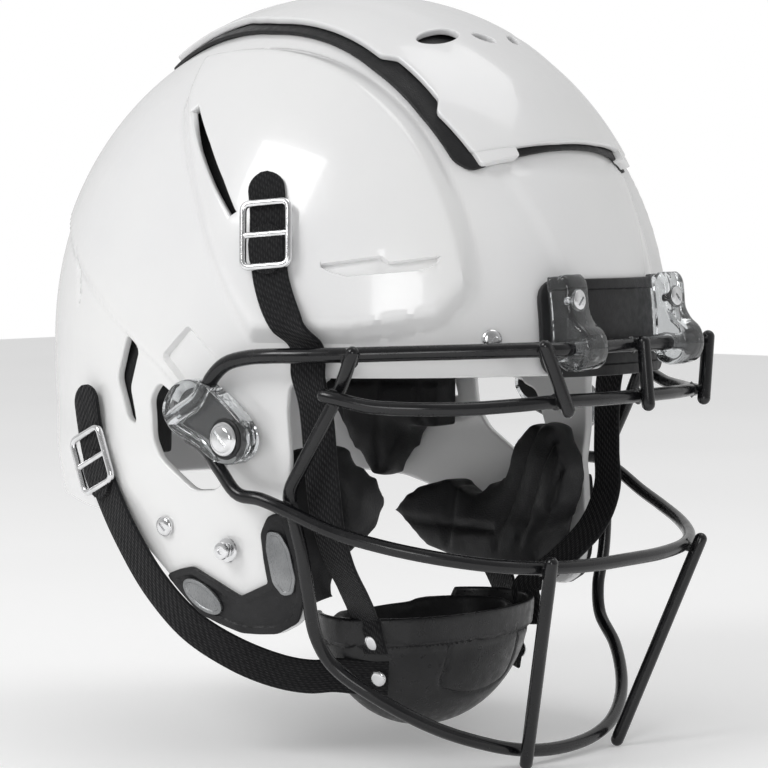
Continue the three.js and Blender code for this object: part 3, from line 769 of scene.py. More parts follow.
REAR_NOTCH = [(92, 41), (88, 31), (85, 20), (86.6, 20), (90, 31), (93.5, 41)]


def soft_ramp(value):
    """A straight ramp from 0 to 1 with a little rounding at both ends."""
    t = np.clip(value, 0, 1)
    return 0.7 * t + 0.3 * t * t * (3 - 2 * t)


def pod_lift(x, y, z):
    beside_crown = np.clip((np.abs(x) - 62) / 8, 0, 1)
    return POD_LIFT * soft_ramp(signed_distance(y, z, POD) / POD_BEVEL) * beside_crown


def shell_relief(x, y, z):
    """How far the moulded surface stands out of the plain dome."""
    lift = pod_lift(x, y, z)
    brow = signed_distance(y, z, BROW_RECESS)
    fade = np.clip(1 - open_distance(y, z, BROW_RECESS_TOP) / 6.5, 0.34, 1)
    lift = lift - 3.0 * np.clip(brow / 0.5, 0, 1) * fade
    cheek = signed_distance(y, z, CHEEK_RECESS)
    lift = lift - 2.6 * np.clip(cheek / 1.4, 0, 1) * (0.1 + 0.85 * np.clip((y + 14) / 26, 0, 1))
    rear = signed_distance(y, z, REAR_PANEL)
    lift = lift - 2.0 * soft_ramp(rear / 2.2) * smooth_step((z + 48) / 24)
    notch = signed_distance(y, z, REAR_NOTCH)
    lift = lift - 1.5 * smooth_step((notch + 0.6) / 1.4)
    centre = (31 + 14 * np.clip((z - 30) / 42, 0, 1) - np.abs(x)) / 5
    height = smooth_step((z - 22) / 10) * smooth_step((78 - z) / 8)
    return lift + 1.6 * soft_ramp(centre) * height * smooth_step((-y - 60) / 20)


def dome_sheet():
    """A fine open dome, from below the jaw to the crown."""
    columns, low_rows, high_rows = 520, 70, 108
    turn = np.linspace(0, 2 * math.pi, columns, endpoint=False)
    low = -np.linspace(0.47, 0, low_rows, endpoint=False)
    heights = np.concatenate([low, np.sin(np.radians(np.linspace(0, 89.3, high_rows))) ** (2 / RISE_POWER)])
    radii = (1 - np.abs(heights) ** RISE_POWER) ** (1 / RISE_POWER)
    sine, cosine = np.sin(turn), -np.cos(turn)
    y = signed_power(cosine, 2 / PLAN_POWER) * plan_depth(cosine, 0) * radii[:, None]
    x = signed_power(sine, 2 / PLAN_POWER) * HALF_WIDTH * taper(y) * radii[:, None]
    z = heights[:, None] * vertical_reach(y, heights[:, None] > 0, 0)
    bm = bmesh.new()
    rows = [[bm.verts.new((x[r, c], y[r, c] + CENTRE_Y, z[r, c])) for c in range(columns)]
            for r in range(len(heights))]
    for lower, upper in zip(rows, rows[1:]):
        for c in range(columns):
            d = (c + 1) % columns
            bm.faces.new((lower[c], lower[d], upper[d], upper[c]))
    bm.faces.new(rows[-1])
    return bm


def raise_relief(bm):
    verts = bm.verts[:]
    spots = np.array([vert.co[:] for vert in verts])
    out = spots - (0, CENTRE_Y, 0)
    out[:, 2] = np.maximum(out[:, 2], 0)
    out /= np.linalg.norm(out, axis=1, keepdims=True)
    lift = shell_relief(*spots.T)
    for vert, target in zip(verts, spots + out * lift[:, None]):
        vert.co = target


def build_shell():
    keep = rounded(SIDE_OUTLINE, 3, 3)
    holes = [inset(rounded(EAR_HOLE, 3.5), -RIM), inset(rounded(SLOT_VENT, 2.5), -RIM), SLIT_VENT]
    brow, cheek = rounded(BROW_RECESS, 1.2, 3), rounded(CHEEK_RECESS, 2.5, 3)
    bm = dome_sheet()
    cut_along(bm, keep, *holes, brow, inset(brow, 0.5), cheek, inset(cheek, 1.4))
    drop_faces(bm, keep, inside=False)
    for hole in holes:
        drop_faces(bm, hole, inside=True)
    raise_relief(bm)
    shell = from_bmesh("shell_look", thicken(bm, WALL, RIM), "shell", "shell", 32)
    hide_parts("shell")
    return shell


def build_vent_linings():
    """The dark lining that shows through the slits above the temples."""
    backing = plate("vent_lining", rounded(VENT_LINING, 6, 4), 3, lambda y, z: on_side(y, z, -WALL - 0.2), 1,
                    0.4, "liner")
    pair("vent_lining", backing, "shell", [])


build_shell()
build_vent_linings()


# --------------------------------------------------------------- crown plate

MM_PER_DEGREE = 2.5
PLATE_EDGE = [
    (36.3, 14), (36.9, 38), (38.1, 54.8), (47.8, 58), (50, 54.2), (62, 53), (64.6, 56.6), (75, 53.8),
    (92, 49), (98, 44.6), (101, 40.5), (110, 36), (122, 30),
]
SPACER_EDGE = [
    (35.6, 56), (38.5, 60), (50, 60.8), (64, 59.8), (75, 57), (92, 52.8), (98, 49.8), (105, 46.8),
    (112, 43.5), (123.4, 33),
]
CROWN_VENTS = [(31, 62.5, 10.5, 5.6, 12), (10.5, 59.5, 6, 3.6, 35), (23, 99, 9.5, 3, 60)]
PLATE_LIFT, PLATE_THICKNESS = 5.5, 3.2
SPACER_LIFT, SPACER_THICKNESS = 2.1, 1.7


def both_sides(edge):
    """A closed (x, arc) outline from (angle, half width) pairs."""
    right = [(-width, angle * MM_PER_DEGREE) for angle, width in edge]
    return right + [(-x, arc) for x, arc in right[::-1]]


def ellipse(centre, radii, turn=0, count=28):
    angle = math.radians(turn)
    spots = []
    for t in np.linspace(0, 2 * math.pi, count, endpoint=False):
        a, b = radii[0] * math.cos(t), radii[1] * math.sin(t)
        spots.append((centre[0] + a * math.cos(angle) - b * math.sin(angle),
                      centre[1] + a * math.sin(angle) + b * math.cos(angle)))
    return spots


def vent_outlines(grow=0):
    return [ellipse((sign * x, angle * MM_PER_DEGREE), (long + grow, short + grow), sign * turn)
            for x, angle, long, short, turn in CROWN_VENTS for sign in (-1, 1)]


def crown_place(lift, crest=0):
    def place(x, arc):
        angle = arc / MM_PER_DEGREE
        middle = crest * smooth_step((34 - np.abs(x)) / 12) * smooth_step((angle - 37) / 12)
        return on_crown(x, angle, lift + middle)
    return place


def build_crown():
    edge = rounded(both_sides(PLATE_EDGE), 1.6, 3)
    plate_piece = plate("crown_plate_look", edge, 2.2, crown_place(PLATE_LIFT, 0.9), PLATE_THICKNESS, 0.8,
                        "shell", "shell", vent_outlines())
    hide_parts("crown_plate")
    spacer = plate("crown_spacer_look", rounded(both_sides(SPACER_EDGE), 3, 3), 3, crown_place(SPACER_LIFT),
                   SPACER_THICKNESS, 0.5, "trim", "shell")
    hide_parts("crown_spacer")
    for name, sign in SIDES:
        foot = rounded([(sign * x, angle * MM_PER_DEGREE)
                        for x, angle in ((38, 35), (53.6, 35.6), (54.6, 39.5), (38, 39.5))], 1, 3)
        plate(f"crown_plate_foot_{name}", foot, 1.5, crown_place(PLATE_LIFT - 0.5), PLATE_LIFT - 1, 0.5,
              "shell", "shell")


build_crown()


# ---------------------------------------------------------- bumpers and trim

def framed(outline, border, step_width=0.7, depth=0.9):
    """Lift of a plate with a raised border: full at the edge, depth lower within."""
    def relief(u, v):
        return -depth * np.clip((signed_distance(u, v, outline) - border) / step_width, 0, 1)
    return relief


def bumper(name, outline, surface, lift, thickness, border):
    relief = framed(outline, border)
    creases = [inset(outline, border), inset(outline, border + 0.7)]
    piece = plate(f"{name}_look", outline, 2, lambda u, v: surface(u, v, lift + relief(u, v)), thickness, 0.8,
                  "trim", "shell", creases=creases)
    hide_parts(name)
    return piece


FRONT_BUMPER = rounded([(-44, -8.5), (44, -8.5), (44, 30), (-44, 30)], 9, 6)
REAR_BUMPER = rounded([(-46, -62), (46, -62), (40, -22), (-40, -22)], 9, 6)
bumper("front_bumper", FRONT_BUMPER, on_front, 3.4, 2.8, 3.4)
bumper("rear_bumper", REAR_BUMPER, on_rear, 3.8, 3.2, 4)

JAW_TRIM = [
    (20, -93.5), (13, -91), (6, -89.5), (-6, -95), (-17, -100.5), (-31, -94), (-30, -84), (-29.5, -73),
    (-33, -66), (-40, -64), (-42.5, -74), (-44.3, -84), (-44.3, -100), (-41, -109), (-32, -114),
    (-24, -114.6), (-16, -114.6), (-6, -111.6), (4, -108), (12, -101),
]
JAW_BADGE = [
    (-32.8, -72), (-37.6, -72.4), (-41, -79), (-42.6, -91), (-41, -97), (-37, -98), (-33.4, -93),
    (-31.8, -79),
]
OVAL_BADGE = ellipse((1.5, -101), (10.4, 5), 31, 40)
TRIM_LIFT = 2.8
BADGE_LIFT = TRIM_LIFT + 0.9


def build_jaw_trim():
    outline = rounded(JAW_TRIM, 1.5, 2)
    relief = framed(outline, 2.2, 0.6, 0.7)
    piece = plate("jaw_trim", outline, 1.5, lambda y, z: on_side(y, z, TRIM_LIFT + relief(y, z)), 2.3, 0.7,
                  "trim", creases=[inset(rounded(JAW_TRIM, 3.2, 3), 2.2)])
    pair("jaw_trim", piece, "shell")


def build_badges():
    jaw_badge = rounded(JAW_BADGE, 1.5, 3)
    for name, outline, nodes in (("jaw_badge", jaw_badge, []), ("oval_badge", OVAL_BADGE, None)):
        relief = framed(outline, 1, 0.4, 0.35)
        piece = plate(name, outline, 1.2, lambda y, z: on_side(y, z, BADGE_LIFT + relief(y, z)), 1.5, 0.35,
                      "badge", creases=[inset(outline, 1), inset(outline, 1.4)])
        pair(name, piece, "shell", nodes)


build_jaw_trim()
build_badges()


# ----------------------------------------------------------------- face mask

RAIL_END_X, RAIL_Y, RAIL_Z = -123, -134, 3
TOP_RAIL = [
    (RAIL_END_X, 4, -25), (RAIL_END_X, -6, -19), (RAIL_END_X, -13, -9), (-122.8, -20, -3.5),
    (-121.6, -30, -0.8), (-119.6, -42, 0.2), (-115, -55, 0.5), (-105.6, -71.5, 1), (-91.5, -89, 1.6),
    (-76, -107.5, 2.2), (-62, -123, 2.8), (-55, -130.5, RAIL_Z), (-48.5, RAIL_Y, RAIL_Z),
    (-44, RAIL_Y, RAIL_Z), (-22, RAIL_Y, RAIL_Z), (0, RAIL_Y, RAIL_Z),
]
LOWER_RAIL = [
    (RAIL_END_X, 2, -33.5), (RAIL_END_X, -8, -38), (RAIL_END_X, -17, -47), (-122.6, -26, -56),
    (-121.5, -37, -57.5), (-118, -49, -62), (-111.5, -66, -69.5), (-102, -84, -75), (-89, -102, -79.5),
    (-72, -117.5, -83), (-53, -127, -85), (-28, -132, -86), (0, -133.4, -86),
]
BROW_BAR = [
    (-116.3, -63, -14.5), (-114.3, -70, -16), (-107.6, -82, -19), (-97, -97, -20), (-82, -112, -20),
    (-66, -124, -19), (-50, -131.8, -18), (-30, -136, -18), (0, -137.3, -18),
]
ORAL_LOOP = [
    (-111.8, -78, 4.5), (-110.4, -73, -5), (-108.8, -67.5, -14), (-110.5, -60, -28), (-112, -51, -44),
    (-112.5, -45, -55.5), (-111.5, -46.5, -66), (-109, -48.5, -80), (-106, -49.5, -98), (-101.5, -49.5, -114),
    (-96.5, -54, -126), (-88, -68, -138), (-69, -84.5, -152), (-45, -96.5, -161.5), (-24, -101.5, -166),
    (0, -103, -167.5),
]
BROW_UPRIGHT = [(-61.5, -133.5, 7), (-49.5, -138.6, -24)]
LOWER_UPRIGHT = [(-56.2, -134.6, -80), (-33, -105, -172)]
CENTRE_BAR = [(0, -140.4, 7), (0, -143.4, -24)]


def mirrored(control):
    return [(-x, y, z) for x, y, z in control]


def both_halves(half):
    return half + mirrored(half[:-1])[::-1]


WIRES = {
    "mask_top_rail": (both_halves(TOP_RAIL), RAIL_RADIUS),
    "mask_lower_rail": (both_halves(LOWER_RAIL), BAR_RADIUS),
    "mask_brow_bar": (both_halves(BROW_BAR), BAR_RADIUS),
    "mask_oral_loop": (both_halves(ORAL_LOOP), BAR_RADIUS),
    "mask_centre_bar": (CENTRE_BAR, BAR_RADIUS),
    "mask_brow_upright_right": (BROW_UPRIGHT, BAR_RADIUS),
    "mask_brow_upright_left": (mirrored(BROW_UPRIGHT), BAR_RADIUS),
    "mask_lower_upright_right": (LOWER_UPRIGHT, BAR_RADIUS),
    "mask_lower_upright_left": (mirrored(LOWER_UPRIGHT), BAR_RADIUS),
}


WELD_REACH = 7.2
WELD_WAIST, WELD_FLARE = 2.1, 1.5


def build_welds():
    """A fillet under the vinyl wherever two wires nearly touch."""
    paths = {name: smooth_path(control, 400)[0] for name, (control, _) in WIRES.items()}
    names = list(paths)
    count = 0
    for index, one in enumerate(names):
        for two in names[index + 1:]:
            gaps = np.linalg.norm(paths[one][:, None] - paths[two][None], axis=2)
            while gaps.min() < WELD_REACH:
                i, j = np.unravel_index(np.argmin(gaps), gaps.shape)
                first, second = paths[one][i], paths[two][j]
                reach = (second - first) / 2
                path = [first + reach * t for t in np.linspace(0.15, 1.85, 9)]
                radii = WELD_WAIST + WELD_FLARE * np.linspace(-1, 1, 9) ** 2
                vertices, faces = tube_mesh(np.array(path), radii, 16)
                make_object(f"mask_weld_{count:02d}", vertices, faces, "wire", "mask")
                count += 1
                gaps[max(i - 12, 0):i + 13] = np.inf


for wire_name, (wire_path, wire_radius) in WIRES.items():
    wire(wire_name, wire_path, wire_radius)
build_welds()


# --------------------------------------------------------- clips and hardware

SIDE_CLIP = [
    (11, -23), (5, -13.5), (-4, -11), (-14, -14), (-26, -23), (-33, -29), (-34, -37), (-27, -43),
    (-17, -42), (-8, -36), (6, -31),
]
SIDE_CLIP_X, SIDE_CLIP_DEPTH = -127.8, 9.2
SIDE_SCREW = (-127.8, -24, -33.5)
CLIP_X, CLIP_WIDTH = 36, 15


def tube_cutter(control, radius):
    vertices, faces = tube_mesh(smooth_path(control, 60)[0], [radius] * 60, 20)
    return make_object("cutter", vertices, faces, "hardware")


def build_side_clips():
    outline = rounded(SIDE_CLIP, 4, 5)
    hole = ellipse(SIDE_SCREW[1:], (3.6, 3.6))
    clip = plate("side_clip", outline, 2.5, lambda y, z: points(SIDE_CLIP_X, y, z), SIDE_CLIP_DEPTH, 1.4,
                 "clip", holes=[hole])
    for rail in (TOP_RAIL, LOWER_RAIL):
        beyond = tuple(np.array(rail[0]) * 2 - np.array(rail[1]))
        carve(clip, tube_cutter([beyond, *rail[:7]], RAIL_RADIUS + 0.9))
    pair("side_clip", clip, "mask")


def build_side_clip_backs():
    """The dark rubber under each clear clip, and the collar that its screw sits in."""
    back = plate("side_clip_back", inset(rounded(SIDE_CLIP, 4, 5), 2.5), 2.5,
                 lambda y, z: points(SIDE_CLIP_X + SIDE_CLIP_DEPTH + 0.3, y, z), 1.2, 0.5, "trim")
    pair("side_clip_back", back, "mask", [])
    profile = [(6.95, -0.6), (8.3, -0.6), (8.5, -0.3), (8.3, 0.5), (7.8, 0.8), (7.2, 0.7), (6.95, 0.3)]
    collar = turned("side_clip_collar", [*profile, profile[0]], SIDE_SCREW, (-1, 0, 0), "trim")
    pair("side_clip_collar", collar, "mask", [])


def build_front_clips():
    heights = np.linspace(1.5, 30, 8)
    brow = on_front(-CLIP_X + 0 * heights, heights, 4.3)
    front = [(-128.6, 31.5), (-131, 28.5), (-132, 17), (-135.5, 11.5), (-140, 8.5), (-141.6, 3), (-140, -2.5),
             (-134, -4.6), (-129, -3)]
    outline = rounded(front, 2.4, 4) + [(y, z) for y, z in brow[:, 1:]]
    clip = plate("front_clip", outline, 2.5, lambda y, z: points(-CLIP_X - CLIP_WIDTH / 2, y, z), CLIP_WIDTH,
                 2.2, "clip", holes=[ellipse((RAIL_Y, RAIL_Z), (RAIL_RADIUS + 0.5,) * 2)])
    pair("front_clip", clip, "shell")


def pan_head(radius, height, sink=3):
    """Profile of a domed screw head on a short shank."""
    turns = np.linspace(0, math.pi / 2, 8)
    cap = [(radius * 0.35 + radius * 0.65 * math.cos(t), height * (0.3 + 0.7 * math.sin(t))) for t in turns]
    return [(0, -sink), (radius * 0.45, -sink), (radius * 0.45, 0), (radius, 0), *cap, (0, height)]


QUARTER_TURN = [
    (0, -8), (3, -8), (3, 0), (6.6, 0), (6.9, 0.3), (6.9, 1.1), (6.5, 1.6), (5.6, 1.8), (5.2, 2.6),
    (4.4, 3.1), (0, 3.1),
]
SNAP_STUD = [
    (0, 0), (5, 0), (5.2, 0.4), (4.9, 0.9), (3, 1.4), (2.6, 2), (2.6, 2.8), (3.4, 3.4), (3.7, 4), (3.4, 4.7),
    (2.6, 5), (1.6, 5), (1.4, 4.4), (0, 4.4),
]


def screw(name, profile, centre, direction, body, slot_size, cross=True):
    piece = turned(name, profile, centre, direction, "hardware")
    if slot_size:
        top = Vector(centre) + Vector(direction).normalized() * max(height for _, height in profile)
        slotted(piece, top, direction, *slot_size, cross)
    pair(name, piece, body)


def side_foot(y, z, lift):
    return tuple(on_side(np.array(float(y)), np.array(float(z)), lift))


def build_screws():
    screw("side_clip_screw", QUARTER_TURN, (SIDE_SCREW[0] - 0.4, *SIDE_SCREW[1:]), (-1, 0, 0), RELEASES,
          (8.4, 1.5, 1.4), cross=False)
    screw("front_clip_screw", pan_head(4.9, 2.6), (-CLIP_X, -131.8, 22), (0, -1, 0), "shell", (4.6, 1.1, 1.5))
    screw("jaw_snap_stud", SNAP_STUD, side_foot(-13, -80.5, 2), (-1, 0, 0), "shell", None)
    screw("jaw_screw", pan_head(4.2, 2.1), side_foot(21, -73, 0.8), (-1, 0, -0.06), "shell", (4.2, 1, 1.2))
    screw("brow_screw", pan_head(4.3, 2.2), side_foot(-108.5, 6.5, 1.4), (-0.62, -0.78, 0.05), "shell",
          (4.4, 1, 1.3))


build_side_clips()
build_side_clip_backs()
build_front_clips()
build_screws()


# --------------------------------------------------------- straps and buckles

def lifted(y, z, lift):
    foot = on_side(np.array(float(y)), np.array(float(z)), 0)
    return side_foot(y, z, float(pod_lift(*foot)) + lift)


UPPER_STRAP = [
    lifted(-28, 74, 2.2), lifted(-33, 60, 2.2), lifted(-36, 44, 2.2), lifted(-40, 28, 2.4),
    lifted(-46.5, 13, 2), lifted(-51, 3, 3.2), (-109.1, -52, -8), (-104.8, -52.5, -22),
    (-102.2, -53.5, -50), (-100.5, -55, -68), (-92, -53.5, -84), (-75, -47.5, -99),
    (-58.6, -39.5, -111.5), (-57.4, -41.4, -119), (-54.8, -42.2, -127.5),
]
LOWER_STRAP = [
    lifted(71, -16, 2.6), lifted(68, -32, 2.6), lifted(64, -47, 2.6), lifted(55, -62, 3.2),
    lifted(42, -78, 5), (-114.8, 27, -98), (-109, 12, -114.5), (-97, -2, -126.5), (-80, -12, -135),
    (-68, -19, -138), (-58.8, -24.5, -138), (-54.6, -34, -138.3), (-47.6, -44.4, -138.8),
]


def upper_side(t):
    return np.array((-0.28 * (1 - t) - 0.05, 0.95, 0.2))


def lower_side(t):
    return -np.array((0.1, 0.9 - 0.75 * t, -0.3 - 0.9 * t))


class Strap:
    """Webbing along a smooth path, with its width direction worked out for every point."""

    def __init__(self, control, side, count=220):
        self.path, self.along = smooth_path(control, count)
        ahead = directions(self.path)
        across = np.array([side(t) for t in np.linspace(0, 1, count)])
        across -= ahead * np.sum(across * ahead, axis=1, keepdims=True)
        self.across = across / np.linalg.norm(across, axis=1, keepdims=True)
        self.out = np.cross(ahead, self.across)
        if self.out[10][0] > 0:
            self.out = -self.out
        self.ahead = ahead

    def at(self, distance):
        """Centre, ahead, across and out directions at a distance along the strap."""
        index = int(np.searchsorted(self.along, distance))
        return self.path[index], self.ahead[index], self.across[index], self.out[index]

    def ribbon(self, name, start, end, lift, round_start, round_end, body=None):
        """A stretch of webbing between two distances, lifted off the path, with UV in millimetres."""
        keep = (self.along >= start) & (self.along <= end)
        path, out, across, along = (values[keep] for values in (self.path, self.out, self.across, self.along))
        half, thick = STRAP_WIDTH / 2, STRAP_THICKNESS / 2
        width = np.full(len(path), half)
        for rounded_end, gap in ((round_start, along - along[0]), (round_end, along[-1] - along)):
            if rounded_end:
                reach = np.clip((half - gap) / half, 0, 0.98)
                width = np.minimum(width, half * np.sqrt(1 - reach ** 2))
        profile = [(-1, 0), (-0.965, 0.75), (-0.9, 1), (-0.45, 1), (0, 1), (0.45, 1), (0.9, 1), (0.965, 0.75),
                   (1, 0), (0.965, -0.75), (0.9, -1), (0, -1), (-0.9, -1), (-0.965, -0.75)]
        count = len(profile)
        vertices = [centre + a * wide * side + (b * thick + lift) * up
                    for centre, wide, side, up in zip(path, width, across, out) for a, b in profile]
        faces = [(row * count + c, row * count + (c + 1) % count, (row + 1) * count + (c + 1) % count,
                  (row + 1) * count + c) for row in range(len(path) - 1) for c in range(count)]
        faces += [tuple(range(count))[::-1], tuple(range((len(path) - 1) * count, len(path) * count))]
        piece = make_object(name, vertices, faces, "webbing", body, 50)
        uv = piece.data.uv_layers.new(name="weave")
        for loop in piece.data.loops:
            row, column = divmod(loop.vertex_index, count)
            uv.data[loop.index].uv = (profile[column][0] * width[row], along[row])
        return piece


def fix_normals(piece):
    bm = bmesh.new()
    bm.from_mesh(piece.data)
    bmesh.ops.recalc_face_normals(bm, faces=bm.faces[:])
    bm.to_mesh(piece.data)
    bm.free()
    return piece


def buckle(name, strap, distance, half_length):
    """A rectangular wire buckle with a centre bar, lying on the strap."""
    centre, ahead, across, out = strap.at(distance)
    centre = centre + out * 2.3
    half_width, radius = STRAP_WIDTH / 2 + 2, 1.5
    ring = rounded([(-half_width, -half_length), (half_width, -half_length), (half_width, half_length),
                    (-half_width, half_length)], 3.4, 6)
    path = np.array([centre + across * a + ahead * b for a, b in ring])
    vertices, faces = tube_mesh(path, [radius] * len(path), 14, closed=True)
    bar = np.array([centre + across * a for a in np.linspace(-half_width, half_width, 9)])
    more, bar_faces = tube_mesh(bar, [radius * 0.9] * 9, 14)
    faces += [tuple(index + len(vertices) for index in face) for face in bar_faces]
    return make_object(name, np.concatenate([vertices, more]), faces, "hardware", None, 50)


def stitches(name, strap, rows, lift):
    """Rows of thread across the webbing at the given distances."""
    vertices, faces = [], []
    for distance in rows:
        centre, _, across, out = strap.at(distance)
        for place in np.linspace(-5.4, 5.4, 7):
            start = centre + across * (place - 0.6) + out * (lift + 0.02)
            path = np.array([start, start + across * 0.2 + out * 0.16, start + across + out * 0.16,
                             start + across * 1.2])
            fresh, sides = tube_mesh(path, [0.16] * 4, 6)
            faces += [tuple(index + len(vertices) for index in side) for side in sides]
            vertices.extend(fresh)
    return make_object(name, vertices, faces, "webbing", None, 50)


def build_straps(kind, control, side, buckle_at, buckle_half, tail_to):
    strap = Strap(control, side)
    length = strap.along[-1]
    webbing = fix_normals(strap.ribbon(f"{kind}_strap", 0, length, 0, True, False))
    webbing, webbing_left = pair(f"{kind}_strap", webbing, None)
    for piece, sign in ((webbing, 1), (webbing_left, -1)):
        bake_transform(piece)
    lift = STRAP_THICKNESS + 0.05
    tail = fix_normals(strap.ribbon(f"{kind}_tail", buckle_at - 4, tail_to, lift, True, True))
    pair(f"{kind}_tail", tail, "shell", [])
    pair(f"{kind}_buckle", buckle(f"{kind}_buckle", strap, buckle_at, buckle_half), "shell")
    rows = (tail_to - 3, tail_to - 5.5)
    thread = stitches(f"{kind}_thread", strap, rows, STRAP_THICKNESS * 1.5)
    pair(f"{kind}_thread", thread, "shell", [])


build_straps("upper", UPPER_STRAP, upper_side, 27, 13.2, 44)
build_straps("lower", LOWER_STRAP, lower_side, 32, 12, 50)


# ------------------------------------------------------------------ chin cup

CUP_CENTRE, CUP_RADII = (0, -28, -113), (60, 36, 52)
CUP_CUT = 56
CUP_RIVETS = {"upper": (-56.2, -42.6, -122.5), "lower": (-50.8, -41.4, -138.6)}
RIVET_AXIS = (-0.97, -0.15, -0.2)


def cup_place(u, v, out=0):
    """u and v map the bowl flat: the distance from the middle is 90 at the rim, 0 at the lowest point."""
    from_bottom = np.radians(np.hypot(u, v))
    turn = np.arctan2(u, v)
    a, b, c = (radius + out for radius in CUP_RADII)
    level = np.sin(from_bottom)
    return points(CUP_CENTRE[0] + a * np.sin(turn) * level, CUP_CENTRE[1] - b * np.cos(turn) * level,
                  CUP_CENTRE[2] - 1 - c * np.cos(from_bottom))


def cup_relief(u, v):
    """A raised rim band, and the seams that frame the front panel."""
    out = np.hypot(u, v)
    band = 1.5 * soft_ramp((out - 77.5) / 1.4) - 0.8 * np.exp(-((out - 77) / 1.2) ** 2)
    panel = signed_distance(u, v, CUP_PANEL)
    seam = -1.2 * np.exp(-(panel / 1.1) ** 2) * (out < 76)
    return band + seam


CUP_PANEL = rounded([(-34, 78), (34, 78), (27, 46), (-27, 46)], 7, 5)


def build_cup():
    rim = [(90 * math.sin(t), 90 * math.cos(t)) for t in np.radians(np.linspace(-126, 126, 90))]
    outline = [corner for corner in rim if corner[1] > -CUP_CUT]
    cup = plate("chin_cup_look", outline, 1.6, lambda u, v: cup_place(u, v, cup_relief(u, v)), 3, 1.1,
                "cup", "cup")
    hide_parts("chin_cup")
    for strap, centre in CUP_RIVETS.items():
        piece = turned(f"{strap}_cup_rivet", pan_head(3.6, 1.6, 2), centre, RIVET_AXIS, "hardware")
        pair(f"{strap}_cup_rivet", piece, "cup", [])


build_cup()


# ----------------------------------------------------------------- soft pads

# The body that each pad rides on, and its voxel size in millimetres
PADS = {
    "front_pad": ("shell", 5), "crown_pad": ("shell", 5), "back_pad": ("shell", 5), "nape_pad": ("shell", 5),
    "side_pad_right": ("shell", 5), "side_pad_left": ("shell", 5), "ear_pad_right": ("shell", 4),
    "ear_pad_left": ("shell", 4), "jaw_pad_right": ("shell", 4), "jaw_pad_left": ("shell", 4),
    "chin_pad": ("cup", 3),
}
PAD_SWELL = 2.2
PAD_SHRINK = 0.8
AIR_PRESSURE = 4
CLOTH_FRAMES = 20
CHANNEL_DEPTH, CHANNEL_WIDTH = 2.2, 1.8


def remeshed(node, name, voxel):
    """A new piece with the CAD node's shape, remeshed evenly."""
    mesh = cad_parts[node].data.copy()
    mesh.materials.clear()
    mesh.materials.append(MATERIALS["liner"])
    pad = add_object(name, mesh)
    modifier = pad.modifiers.new("remesh", "REMESH")
    modifier.mode = "VOXEL"
    modifier.voxel_size = voxel * MM
    modifier.use_smooth_shade = True
    return apply_modifiers(pad)


def read_points(mesh):
    flat = np.zeros(len(mesh.vertices) * 3)
    mesh.vertices.foreach_get("co", flat)
    return flat.reshape(-1, 3)


def inflate(pad):
    """Lets the pad swell under air pressure, and caps how far each point may move."""
    start = read_points(pad.data)
    modifier = pad.modifiers.new("cloth", "CLOTH")
    settings = modifier.settings
    settings.use_pressure = True
    settings.uniform_pressure_force = AIR_PRESSURE
    settings.effector_weights.gravity = 0
    settings.quality = 4
    scene = bpy.context.scene
    for step in range(1, CLOTH_FRAMES + 1):
        scene.frame_set(step)
        bpy.context.view_layer.update()
    evaluated = pad.evaluated_get(bpy.context.evaluated_depsgraph_get())
    moved = read_points(evaluated.data) - start
    pad.modifiers.clear()
    scene.frame_set(1)
    reach = np.linalg.norm(moved, axis=1, keepdims=True)
    scale = np.minimum(1, PAD_SWELL * MM / np.maximum(reach, 1e-9))
    pad.data.vertices.foreach_set("co", (start + moved * scale).ravel())
    pad.data.update()


def smooth_pad(pad):
    """Rounds the pad's corners and draws its surface in a little."""
    smooth = pad.modifiers.new("smooth", "LAPLACIANSMOOTH")
    smooth.iterations = 4
    smooth.lambda_factor = 0.6
    smooth.lambda_border = 0
    displace = pad.modifiers.new("shrink", "DISPLACE")
    displace.mid_level = 0
    displace.strength = -PAD_SHRINK * MM
    return apply_modifiers(pad)


def groove(pad, line_distance, depth, width):
    """Sinks channels into the face that touches the head, where line_distance is small."""
    spots = read_points(pad.data)
    flat = np.zeros(spots.size)
    pad.data.vertices.foreach_get("normal", flat)
    normals = flat.reshape(-1, 3)
    inwards = np.array((0, CENTRE_Y * MM, 0)) - spots
    inwards /= np.linalg.norm(inwards, axis=1, keepdims=True)
    facing = smooth_step((np.sum(normals * inwards, axis=1) - 0.1) / 0.4)
    away = line_distance(*(spots / MM).T)
    sink = depth * MM * np.exp(-(away / width) ** 2) * facing
    pad.data.vertices.foreach_set("co", (spots - normals * sink[:, None]).ravel())
    pad.data.update()


def every(spacing, start=0.0):
    """Distance to the nearest of a row of evenly spaced lines."""
    return lambda value: np.abs((value - start + spacing / 2) % spacing - spacing / 2)


def cheek_lines(y, z):
    """Ribs on the cheek, and two crossing seams on the wing behind it."""
    slant = y * 0.94 + (z + 85) * 0.34
    facets = np.minimum(np.abs(y - 17), np.abs(z + 88))
    return np.where(y < -12, every(13, -3)(slant), facets)


CHANNELS = {
    "front_pad": lambda x, y, z: np.minimum(every(38)(x), np.abs(z - 62)),
    "crown_pad": lambda x, y, z: np.minimum(every(34, 17)(x), every(36, -6)(y)),
    "back_pad": lambda x, y, z: np.minimum(every(36, 18)(x), every(34, 62)(z)),
    "nape_pad": lambda x, y, z: every(32, 16)(x),
    "side_pad": lambda x, y, z: np.minimum(every(32, -4)(y), np.abs(z - 38)),
    "ear_pad": lambda x, y, z: np.minimum(every(20, 64)(y), np.abs(z + 22)),
    "jaw_pad": lambda x, y, z: cheek_lines(y, z),
}


